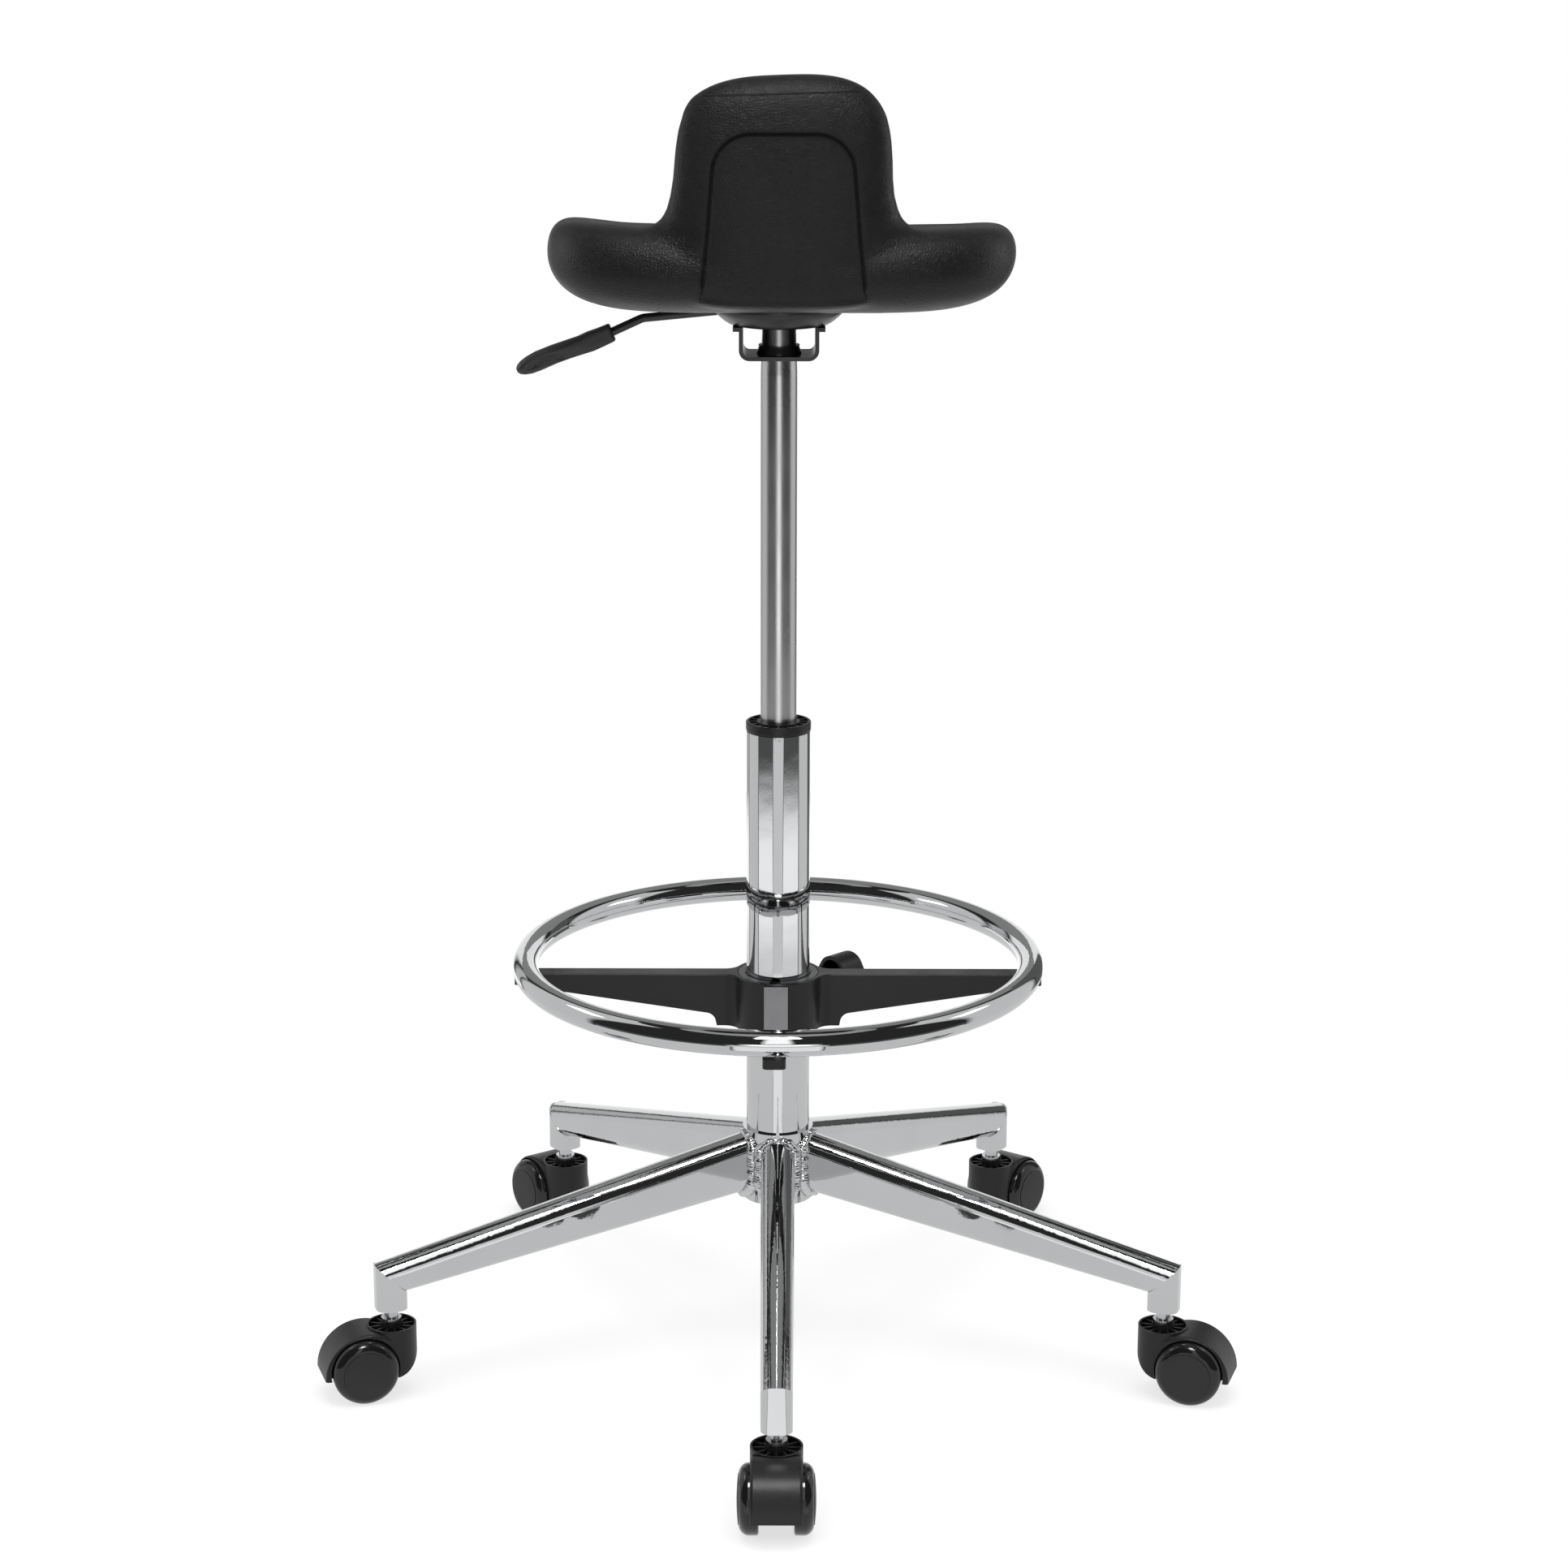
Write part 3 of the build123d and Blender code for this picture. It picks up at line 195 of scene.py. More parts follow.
def plated_weld():
    # The bright plate over a hand-laid weld: as shiny as the tubes, but dimpled and rippled, so
    # that it glitters. The dimples are 2 mm across.
    material, tree, shader = start_material("Chromium_plated_weld", Metallic=1.0)
    place = add_node(tree, "ShaderNodeTexCoord").outputs["Object"]
    dimples = add_node(tree, "ShaderNodeTexNoise", {"Vector": place, "Scale": 420.0, "Detail": 3.0})
    haze = add_node(tree, "ShaderNodeTexNoise", {"Vector": place, "Scale": 90.0, "Detail": 2.0})
    rough = add_node(
        tree,
        "ShaderNodeMapRange",
        {"Value": haze.outputs["Fac"], "From Min": 0.35, "From Max": 0.65, "To Min": 0.08, "To Max": 0.22},
    )
    colour = add_node(
        tree,
        "ShaderNodeMix",
        {"Factor": haze.outputs["Fac"], "A": srgb("#CACBCC"), "B": srgb("#DCDDDE")},
        data_type="RGBA",
    )
    bump = add_node(tree, "ShaderNodeBump", {"Height": dimples.outputs["Fac"], "Distance": 0.0006})
    tree.links.new(colour.outputs["Result"], shader.inputs["Base Color"])
    tree.links.new(rough.outputs["Result"], shader.inputs["Roughness"])
    tree.links.new(bump.outputs["Normal"], shader.inputs["Normal"])
    return material


def turned_steel(name, dark, light, rough_low, rough_high):
    # Small turned and zinc-plated steel parts: brighter and darker in fine rings round the axis.
    material, tree, shader = start_material(name, Metallic=1.0)
    place = add_node(tree, "ShaderNodeTexCoord").outputs["Object"]
    rings = add_node(tree, "ShaderNodeMapping", {"Vector": place, "Scale": (0.06, 0.06, 1.0)})
    lines = add_node(
        tree, "ShaderNodeTexNoise", {"Vector": rings.outputs["Vector"], "Scale": 1500.0, "Detail": 2.0}
    )
    colour = add_node(
        tree,
        "ShaderNodeMix",
        {"Factor": lines.outputs["Fac"], "A": srgb(dark), "B": srgb(light)},
        data_type="RGBA",
    )
    rough = add_node(
        tree,
        "ShaderNodeMapRange",
        {
            "Value": lines.outputs["Fac"],
            "From Min": 0.3,
            "From Max": 0.7,
            "To Min": rough_low,
            "To Max": rough_high,
        },
    )
    bump = add_node(
        tree, "ShaderNodeBump", {"Height": lines.outputs["Fac"], "Distance": 0.00002, "Strength": 0.5}
    )
    tree.links.new(colour.outputs["Result"], shader.inputs["Base Color"])
    tree.links.new(rough.outputs["Result"], shader.inputs["Roughness"])
    tree.links.new(bump.outputs["Normal"], shader.inputs["Normal"])
    return material


def moulded_plastic(name, dark, light, grain_mm, grain_depth, rough_low, rough_high, specular=0.5):
    # Injection-moulded plastic: the mould's spark-eroded grain and a slow drift of shade where the
    # melt flowed. A real grain is about 0.2 mm; here it is drawn as coarse as grain_mm, to show.
    material, tree, shader = start_material(name, Specular_IOR_Level=specular)
    place = add_node(tree, "ShaderNodeTexCoord").outputs["Object"]
    grain = add_node(tree, "ShaderNodeTexNoise", {"Vector": place, "Scale": 1000.0 / grain_mm, "Detail": 2.0})
    flow = add_node(tree, "ShaderNodeTexNoise", {"Vector": place, "Scale": 24.0, "Detail": 2.0})
    colour = add_node(
        tree,
        "ShaderNodeMix",
        {"Factor": flow.outputs["Fac"], "A": srgb(dark), "B": srgb(light)},
        data_type="RGBA",
    )
    rough = add_node(
        tree,
        "ShaderNodeMapRange",
        {
            "Value": flow.outputs["Fac"],
            "From Min": 0.3,
            "From Max": 0.7,
            "To Min": rough_low,
            "To Max": rough_high,
        },
    )
    bump = add_node(
        tree, "ShaderNodeBump", {"Height": grain.outputs["Fac"], "Distance": grain_depth * MM}
    )
    tree.links.new(colour.outputs["Result"], shader.inputs["Base Color"])
    tree.links.new(rough.outputs["Result"], shader.inputs["Roughness"])
    tree.links.new(bump.outputs["Normal"], shader.inputs["Normal"])
    return material


def birch_plywood():
    # Birch plywood: pale veneers in thin layers through the board's thickness, with fine grain.
    material, tree, shader = start_material("Birch_plywood", Roughness=0.65)
    place = add_node(tree, "ShaderNodeTexCoord").outputs["Object"]
    layers = add_node(tree, "ShaderNodeTexWave", {"Vector": place, "Scale": 105.0}, bands_direction="Z")
    stretched = add_node(tree, "ShaderNodeMapping", {"Vector": place, "Scale": (0.05, 1.0, 1.0)})
    grain = add_node(
        tree, "ShaderNodeTexNoise", {"Vector": stretched.outputs["Vector"], "Scale": 700.0, "Detail": 4.0}
    )
    veneer = add_node(
        tree,
        "ShaderNodeMix",
        {"Factor": layers.outputs["Fac"], "A": srgb("#B08A5C"), "B": srgb("#D9BC8C")},
        data_type="RGBA",
    )
    colour = add_node(
        tree,
        "ShaderNodeMix",
        {"Factor": grain.outputs["Fac"], "A": veneer.outputs["Result"], "B": srgb("#C8A676")},
        data_type="RGBA",
    )
    bump = add_node(
        tree, "ShaderNodeBump", {"Height": grain.outputs["Fac"], "Distance": 0.0001, "Strength": 0.6}
    )
    tree.links.new(colour.outputs["Result"], shader.inputs["Base Color"])
    tree.links.new(bump.outputs["Normal"], shader.inputs["Normal"])
    return material


def skinned_foam():
    # Self-skinned polyurethane foam: the closed black skin that the foam forms against the mould,
    # low in gloss, with the leather grain of the mould. A real cell of that grain is about 1 mm;
    # it is drawn at 2 mm so that it shows. A painted shade darkens the colour along the line round
    # the panel in the back, in the crease of its recess, and the mould's parting line crosses the crest.
    material, tree, shader = start_material("Self_skinned_polyurethane_foam", Specular_IOR_Level=0.26)
    place = add_node(tree, "ShaderNodeTexCoord").outputs["Object"]
    cells = add_node(
        tree,
        "ShaderNodeTexVoronoi",
        {"Vector": place, "Scale": 500.0},
        feature="DISTANCE_TO_EDGE",
    )
    plateau = add_node(
        tree,
        "ShaderNodeMapRange",
        {"Value": cells.outputs["Distance"], "From Max": 0.28},
        interpolation_type="SMOOTHSTEP",
    )
    pores = add_node(tree, "ShaderNodeTexNoise", {"Vector": place, "Scale": 1500.0, "Detail": 2.0})
    wear = add_node(tree, "ShaderNodeTexNoise", {"Vector": place, "Scale": 14.0, "Detail": 3.0})
    inside = add_node(tree, "ShaderNodeAttribute", attribute_name="panel_inside")
    off_line = add_node(tree, "ShaderNodeMath", {0: inside.outputs["Fac"], 1: 0.4}, operation="SUBTRACT")
    line_gap = add_node(tree, "ShaderNodeMath", {0: off_line.outputs["Value"]}, operation="ABSOLUTE")
    # Painted shade: along the line round the back's panel the colour darkens towards near-black, and the skin
    # is duller there.
    painted_crease_shade = add_node(
        tree,
        "ShaderNodeMapRange",
        {"Value": line_gap.outputs["Value"], "From Min": 0.4, "From Max": 2.8, "To Min": 1.0, "To Max": 0.0},
        interpolation_type="SMOOTHSTEP",
    )
    leather = add_node(
        tree,
        "ShaderNodeBump",
        {"Height": plateau.outputs["Result"], "Distance": 0.00016},
    )
    porous = add_node(
        tree,
        "ShaderNodeBump",
        {
            "Height": pores.outputs["Fac"],
            "Distance": 0.00006,
            "Normal": leather.outputs["Normal"],
        },
    )
    seam = add_node(
        tree,
        "ShaderNodeBump",
        {"Height": parting_line(tree, place), "Distance": 0.0006, "Normal": porous.outputs["Normal"]},
    )
    colour = add_node(
        tree,
        "ShaderNodeMix",
        {"Factor": wear.outputs["Fac"], "A": srgb("#0F0F10"), "B": srgb("#151516")},
        data_type="RGBA",
    )
    # The painted shade of the panel's line: the skin's colour mixed towards #060606.
    shaded = add_node(
        tree,
        "ShaderNodeMix",
        {"Factor": painted_crease_shade.outputs["Result"], "A": colour.outputs["Result"], "B": srgb("#060606")},
        data_type="RGBA",
    )
    rough = add_node(
        tree,
        "ShaderNodeMapRange",
        {"Value": wear.outputs["Fac"], "From Min": 0.3, "From Max": 0.7, "To Min": 0.36, "To Max": 0.46},
    )
    dull = add_node(
        tree,
        "ShaderNodeMath",
        {0: painted_crease_shade.outputs["Result"], 1: 0.6, 2: rough.outputs["Result"]},
        operation="MULTIPLY_ADD",
    )
    tree.links.new(shaded.outputs["Result"], shader.inputs["Base Color"])
    tree.links.new(dull.outputs["Value"], shader.inputs["Roughness"])
    tree.links.new(seam.outputs["Normal"], shader.inputs["Normal"])
    return material


# Mould's parting line over the crest of the back.
PARTING_Z = 1008.5  # its height in the middle, mm
PARTING_SLOPE = 0.03  # its rise to the right
PARTING_HALF = 0.8  # half its width, mm


def parting_line(tree, place):
    """Height of the mould's parting line, a low ridge over the middle of the back's crest."""
    split = add_node(tree, "ShaderNodeSeparateXYZ", {"Vector": place})
    lift = add_node(tree, "ShaderNodeMath", {0: split.outputs["X"], 1: PARTING_SLOPE}, operation="MULTIPLY")
    level = add_node(
        tree, "ShaderNodeMath", {0: split.outputs["Z"], 1: lift.outputs["Value"]}, operation="SUBTRACT"
    )
    offset = add_node(
        tree, "ShaderNodeMath", {0: level.outputs["Value"], 1: PARTING_Z * MM}, operation="SUBTRACT"
    )
    away = add_node(tree, "ShaderNodeMath", {0: offset.outputs["Value"]}, operation="ABSOLUTE")
    return add_node(
        tree,
        "ShaderNodeMapRange",
        {"Value": away.outputs["Value"], "From Max": PARTING_HALF * MM, "To Min": 1.0, "To Max": 0.0},
        interpolation_type="SMOOTHSTEP",
    ).outputs["Result"]


# Slot: material's name, dark and light shade, lowest and highest roughness.
TURNED_METALS = {
    "ground_steel": ("Ground_piston_rod_steel", "#8E8E90", "#C2C2C4", 0.1, 0.2),
    "plated_steel": ("Zinc_plated_steel", "#B4B5B7", "#DADBDC", 0.14, 0.26),
    "brass": ("Turned_brass", "#B08D4A", "#D0AE68", 0.2, 0.32),
}
# Slot: material's name, dark and light shade, size and depth of the grain in mm, lowest and
# highest roughness, and the specular level where it isn't 0.5.
PLASTICS = {
    "black_nylon": ("Glass_filled_nylon", "#121212", "#181819", 0.7, 0.008, 0.3, 0.4, 0.32),
    "caster_nylon": ("Textured_caster_nylon", "#161617", "#1B1B1C", 0.6, 0.04, 0.36, 0.46, 0.35),
    "wheel_nylon": ("Polished_wheel_nylon", "#111112", "#161617", 1.6, 0.01, 0.1, 0.16),
    "black_painted_steel": ("Powder_coated_steel", "#131313", "#1A1A1A", 1.1, 0.04, 0.26, 0.38),
    "rubber": ("Moulded_rubber", "#151515", "#1D1D1D", 0.8, 0.05, 0.6, 0.75, 0.3),
    "grey_acetal": ("Grey_acetal", "#3A3B3D", "#444547", 0.6, 0.02, 0.3, 0.4),
    "white_acetal": ("White_acetal", "#DADAD6", "#E6E6E2", 0.6, 0.02, 0.3, 0.4),
}
WHEEL_FACE = ("Matt_wheel_disc_nylon", "#19191A", "#1E1E1F", 0.6, 0.06, 0.5, 0.6)
# A polished face with a painted highlight: its colour is a lighter grey than the hub's black.
PAD_PAINTED_HIGHLIGHT = ("Polished_nylon_pad_painted_highlight", "#555557", "#86868A", 1.4, 0.05, 0.22, 0.4)
GRIP = ("Satin_nylon_grip", "#1B1B1C", "#212122", 1.2, 0.0006, 0.38, 0.46)

finishes = {
    "chromed_steel": chromium_plate(),
    "polished_steel": drawn_steel(),
    "plywood": birch_plywood(),
    "polyurethane_foam": skinned_foam(),
}
finishes.update({slot: turned_steel(*look) for slot, look in TURNED_METALS.items()})
finishes.update({slot: moulded_plastic(*look) for slot, look in PLASTICS.items()})

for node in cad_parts.values():
    for place in node.material_slots:
        place.material = finishes[place.material.name.split(".")[0]]
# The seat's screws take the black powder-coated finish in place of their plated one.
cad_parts["seat_screws"].material_slots[0].material = finishes["black_painted_steel"]

CASTER_COUNT = 5
DISC_R = 18.7  # matt disc in the middle of a wheel's outer side, mm
DISC_OUT = 20.0  # its faces lie further than this from the caster's middle plane, mm
PAD_DEPTH = 0.4  # the pad's faces lie within this of the hub's outermost point in -Y, mm
PAD_FACING = 0.9  # and turn towards -Y at least this much


def polygon_vectors(mesh, name):
    """The centre or the normal of every face, one row each."""
    values = np.empty(len(mesh.polygons) * 3)
    mesh.polygons.foreach_get(name, values)
    return values.reshape(-1, 3)


def second_finish(node, finish, chosen):
    """Gives the chosen faces of a CAD node a finish of their own."""
    node.data.materials.append(finish)
    node.data.polygons.foreach_set("material_index", chosen.astype(np.int32))


def face_the_discs():
    """The flat middle of each wheel's outer side is matt, and the tread and rim are glossy."""
    finish = moulded_plastic(*WHEEL_FACE)
    for index in range(1, CASTER_COUNT + 1):
        low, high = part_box(f"caster_axle_{index}")
        hub = np.array((low + high) / 2)
        for side in ("left", "right"):
            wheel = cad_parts[f"caster_wheel_{side}_{index}"]
            away = polygon_vectors(wheel.data, "center") - hub
            span = np.array(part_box(f"caster_wheel_{side}_{index}")).mean(0) - hub
            axis = span / np.linalg.norm(span)
            across = away @ axis
            radius = np.linalg.norm(away - across[:, None] * axis, axis=1)
            second_finish(wheel, finish, (radius < DISC_R * MM) & (across > DISC_OUT * MM))


def face_the_pad():
    """The pad on the -Y side of the foot ring's hub is polished, and its colour is a painted highlight,
    lighter than the rest.
    """
    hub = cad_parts["ring_spider"]
    low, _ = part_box("ring_spider")
    outermost = polygon_vectors(hub.data, "center")[:, 1] < low.y + PAD_DEPTH * MM
    turned_out = polygon_vectors(hub.data, "normal")[:, 1] < -PAD_FACING
    second_finish(hub, moulded_plastic(*PAD_PAINTED_HIGHLIGHT), outermost & turned_out)


face_the_discs()
face_the_pad()


# ------------------------ seat
# Sizes in mm. In the fields x counts from the seat's middle plane, and y and z from the
# column's axis and the floor.
SEAT_X = 2.7  # the seat's middle plane from the column's axis
SEAT_BOTTOM = 847.0
UNION = 22.0  # reach of the fillet between cushion and back, where they meet squarely
LEAST_UNION = 0.5
BOTTOM_ROUND = 3.0  # rounding of the edge round the flat underside

HALF_WIDTH = 173.2
CUSHION_SHIFT = 0.8  # the cushion lies this much to the left of the back
WIDEST_Y = -20.0
REAR_REACH, REAR_POWER = 117.0, 3.6  # outline behind the widest line: its depth and squareness
FRONT_REACH, FRONT_POWER = 178.0, 2.8
EDGE_Z = (876, 860)  # height of the fullest line of the side, at the widest line and in front
EDGE_RISE = 12  # how much higher that line is at the sides
TOP_Y = (-150, -118, -95, -60, 0, 60, 110, 160)
TOP_Z = (912.5, 912.0, 908.5, 903.0, 899.0, 895.0, 889.5, 880)
LEFT_WING, RIGHT_WING = 14.5, 9.5  # rise of the top at either side
WING_END_Y = 110  # in front of this the top is level
LEAST_CROWN = 6
CLOSE_Z = 842.0  # where the lower half would close, if the flat underside didn't cut it off
UPPER_POWER, UPPER_MORE = 9.0, 11.0  # squareness of the section in the middle, and more outside
LOWER_POWER, LOWER_MORE = 2.4, 3.0


def cushion(p):
    """Rounded-slab field of the cushion, 0 on its surface."""
    x, y, z = p[:, 0] + CUSHION_SHIFT, p[:, 1], p[:, 2]
    rear = y < WIDEST_Y
    deep = np.where(rear, REAR_REACH, FRONT_REACH)
    power = np.where(rear, REAR_POWER, FRONT_POWER)
    s = (np.abs(x / HALF_WIDTH) ** power + np.abs((y - WIDEST_Y) / deep) ** power) ** (1 / power)
    side = np.minimum(np.abs(x) / HALF_WIDTH, 1.0)
    edge = np.interp(y, (WIDEST_Y, WIDEST_Y + FRONT_REACH), EDGE_Z) + EDGE_RISE * side**2
    wing = np.where(x < 0, LEFT_WING, RIGHT_WING) * side**3
    top = np.interp(y, TOP_Y, TOP_Z) + wing * np.clip((WING_END_Y - y) / WING_END_Y, 0, 1)
    above = z > edge
    q = np.where(above, (z - edge) / np.maximum(top - edge, LEAST_CROWN), (edge - z) / (edge - CLOSE_Z))
    power = np.where(above, UPPER_POWER + UPPER_MORE * side**4, LOWER_POWER + LOWER_MORE * side**2)
    return (q * q + s**power) ** (1 / power) - 1


BACK_Z = (850, 905, 924, 935, 947, 960, 987)
BACK_HALF = (88, 86, 83.2, 80.2, 78.2, 77, 74.8)  # half its width at those heights
LEFT_Z, LEFT_MORE = (975, 990, 1004, 1018), (0.6, 1.5, 4.2, 3)  # added on the left
RIGHT_Z, RIGHT_MORE = (935, 960, 990, 1005), (0, 1.6, 2.0, 1.0)
INNER_Z, INNER_Y = (900, 930, 985), (-70, -80, -92)  # face towards the sitter
OUTER_Y = -137.5
CREST_TILT = 0.035  # the crest is a little higher on the right
TILT_FROM_Z, TILT_OVER = 900, 60
CROWN_FROM_Z, CROWN_OVER = 960, 60.6
HEM_FROM_Z, HEM_OVER = 880, 28  # below this the back draws in, inside the cushion


def backrest(p):
    """Field of the short back, 0 on its surface."""
    x, y, z = p[:, 0], p[:, 1], p[:, 2]
    half = np.interp(z, BACK_Z, BACK_HALF)
    half = half + np.where(x < 0, np.interp(z, LEFT_Z, LEFT_MORE), np.interp(z, RIGHT_Z, RIGHT_MORE))
    inner = np.interp(z, INNER_Z, INNER_Y)
    tilted = z - CREST_TILT * x * np.clip((z - TILT_FROM_Z) / TILT_OVER, 0, 1)
    crown = np.maximum(0, (tilted - CROWN_FROM_Z) / CROWN_OVER)
    hem = np.maximum(0, (HEM_FROM_Z - z) / HEM_OVER)
    middle, deep = (OUTER_Y + inner) / 2, (inner - OUTER_Y) / 2
    total = np.abs(x / half) ** 3 + np.abs((y - middle) / deep) ** 3 + crown**3 + hem**3
    return total ** (1 / 3) - 1


HALF_STEPS = np.eye(3) * 0.5  # samples 1 mm apart, so that their difference is a slope per mm
LEAST_SLOPE = 1 / 300


def slope_of(field, p):
    """The field's slope along each axis, and how steep it is."""
    slope = np.stack([field(p + step) - field(p - step) for step in HALF_STEPS], 1)
    return slope, np.linalg.norm(slope, axis=1)


def distance(field, p):
    """Roughly the millimetres from the surface, and the direction away from it."""
    slope, steep = slope_of(field, p)
    return field(p) / np.maximum(steep, LEAST_SLOPE), slope / np.maximum(steep, 1e-9)[:, None]


def seat_distance(p):
    """Distance from the seat's skin: cushion and back with a fillet between, cut flat below."""
    p = p - (SEAT_X, 0, 0)
    (a, away_a), (b, away_b) = distance(cushion, p), distance(backrest, p)
    union = UNION * np.clip(1 - (away_a * away_b).sum(1), 0, 1) + LEAST_UNION
    near = np.maximum(union - np.abs(a - b), 0) / union
    whole = np.minimum(a, b) - near * near * union / 4
    floor = SEAT_BOTTOM - p[:, 2]
    soft = np.maximum(BOTTOM_ROUND - np.abs(whole - floor), 0) / BOTTOM_ROUND
    return np.maximum(whole, floor) + soft * soft * BOTTOM_ROUND / 4


CELL = 4.0  # grid on which the skin is first meshed
GRID_SPANS = ((-180, 188), (-148, 170), (834, 1032))  # in x, y and z, round the whole seat


def both_ends(axis, rest):
    """Slices of a grid for the first and second end of every edge along an axis."""
    first, second = [rest] * 3, [rest] * 3
    first[axis], second[axis] = slice(0, -1), slice(1, None)
    return tuple(first), tuple(second)


def crossed_cells(d):
    """Mean of the crossings on each crossed cell's edges, in grid steps, and each cell's number."""
    inside = d < 0
    cells = [n - 1 for n in d.shape]
    total = np.zeros(cells + [3])
    count = np.zeros(cells)
    for axis in range(3):
        first, second = both_ends(axis, slice(None))
        a, b = d[first], d[second]
        crossed = inside[first] != inside[second]
        share = np.where(crossed, a / np.where(crossed, a - b, 1), 0)
        at = np.stack(np.meshgrid(*[np.arange(n, dtype=float) for n in a.shape], indexing="ij"), -1)
        at[..., axis] += share
        others = [k for k in range(3) if k != axis]
        for i in (0, 1):
            for j in (0, 1):
                cut = [slice(None)] * 3
                cut[others[0]] = slice(i, cells[others[0]] + i)
                cut[others[1]] = slice(j, cells[others[1]] + j)
                hit = crossed[tuple(cut)]
                total += np.where(hit[..., None], at[tuple(cut)], 0)
                count += hit
    used = count > 0
    number = -np.ones(cells, int)
    number[used] = np.arange(used.sum())
    return total[used] / count[used][:, None], number


def crossing_quads(inside, number):
    """A quad for each grid edge that the surface crosses, through the cells round that edge."""
    faces = []
    for axis in range(3):
        u, v = (axis + 1) % 3, (axis + 2) % 3
        first, second = both_ends(axis, slice(1, -1))
        enters = inside[first] & ~inside[second]
        leaves = ~inside[first] & inside[second]
        for mask, order in ((enters, 1), (leaves, -1)):
            at = np.argwhere(mask) + np.array([0 if k == axis else 1 for k in range(3)])
            ring = []
            for du, dv in ((-1, -1), (0, -1), (0, 0), (-1, 0))[::order]:
                cell = at.copy()
                cell[:, u] += du
                cell[:, v] += dv
                ring.append(number[cell[:, 0], cell[:, 1], cell[:, 2]])
            faces.append(np.stack(ring, 1))
    return np.concatenate(faces)


def seat_grid():
    """Quads round the seat's surface on a regular grid, one point in each cell that it crosses."""
    axes = [np.arange(low, high, CELL) for low, high in GRID_SPANS]
    corners = np.stack(np.meshgrid(*axes, indexing="ij"), -1).reshape(-1, 3)
    d = seat_distance(corners).reshape([len(axis) for axis in axes])
    middles, number = crossed_cells(d)
    origin = np.array([axis[0] for axis in axes])
    return middles * CELL + origin, crossing_quads(d < 0, number)


LONGEST_MOVE = 3


def onto_surface(points, rounds):
    """Moves points onto the seat's surface, and gives the directions away from it."""
    for _ in range(rounds):
        d = seat_distance(points)
        slope, steep = slope_of(seat_distance, points)
        slope /= np.maximum(steep, 1e-6)[:, None]
        points = points - np.clip(d, -LONGEST_MOVE, LONGEST_MOVE)[:, None] * slope
    return points, slope


def relaxed(points, faces, share):
    """Each point moved part of the way to the middle of its neighbours."""
    total = np.zeros_like(points)
    count = np.zeros(len(points))
    for a, b in ((0, 1), (1, 2), (2, 3), (3, 0)):
        for here, there in ((a, b), (b, a)):
            np.add.at(total, faces[:, here], points[faces[:, there]])
            np.add.at(count, faces[:, here], 1)
    return points + share * (total / count[:, None] - points)


PANEL_Z = (846, 857, 878, 904, 961, 982)
PANEL_HALF = (60.2, 59.6, 58.2, 55.4, 50.8, 49.4)  # half its width at those heights
PANEL_SHIFT = 0.5  # to the right of the back's middle
PANEL_TOP_Z = 980.8
PANEL_CORNER = 26.0
PANEL_DEPTH = 3.2
PANEL_WALL = (-1.4, 2.0)  # its sloped edge, from just outside the outline to just inside
PANEL_RUNS_OUT_Z = (846, 866)  # the recess runs out at its lower end
PANEL_FACING = (0.6, 0.85)  # only what faces backwards is pressed in
BACK_FROM_Y = -60  # the outer face lies behind this
LINE_RUNS_OUT_Z = (856, 874)  # the shadow line round it fades at its lower end
LINE_FADE = 8
NO_PANEL = -99.0


def panel_inside(x, z):
    """Distance inside the outline of the recessed panel on the back's outer face."""
    half = np.interp(z, PANEL_Z, PANEL_HALF)
    side, top = half - np.abs(x - PANEL_SHIFT), PANEL_TOP_Z - z
    to_side, to_top = np.maximum(PANEL_CORNER - side, 0), np.maximum(PANEL_CORNER - top, 0)
    corner = PANEL_CORNER - np.hypot(to_side, to_top)
    return np.where((side < PANEL_CORNER) & (top < PANEL_CORNER), corner, np.minimum(side, top))


def make_seat():
    """One closed skin: cushion and back in one, with the pressed panel on its outer face."""
    points, faces = seat_grid()
    for _ in range(3):
        points = relaxed(points, faces, 0.5)
        points, _ = onto_surface(points, 1)
    seat = mesh_object("seat_moulding", points, faces)
    finer = seat.modifiers.new("finer", "SUBSURF")
    finer.levels = finer.render_levels = 1
    apply_modifiers(seat)
    skin = seat.data
    co = np.empty(len(skin.vertices) * 3)
    skin.vertices.foreach_get("co", co)
    co, normal = onto_surface(co.reshape(-1, 3), 2)
    x, z = co[:, 0] - SEAT_X, co[:, 2]
    facing = smooth_step(-normal[:, 1], *PANEL_FACING)
    fade = smooth_step(z, *PANEL_RUNS_OUT_Z)
    inside = panel_inside(x, z)
    co[:, 1] += PANEL_DEPTH * smooth_step(inside, *PANEL_WALL) * facing * fade
    skin.vertices.foreach_set("co", (co * MM).ravel())
    on_back = (co[:, 1] < BACK_FROM_Y) & (facing > 0)
    line = inside + LINE_FADE * np.sign(inside) * (1 - smooth_step(z, *LINE_RUNS_OUT_Z))
    point_attribute(skin, "panel_inside", np.where(on_back, line, NO_PANEL))
    skin.polygons.foreach_set("use_smooth", [True] * len(skin.polygons))
    skin.update()
    return seat


POCKET_GAP = 0.3  # round the board
POCKET_OPEN = 10.0  # how far the cutter reaches below the board


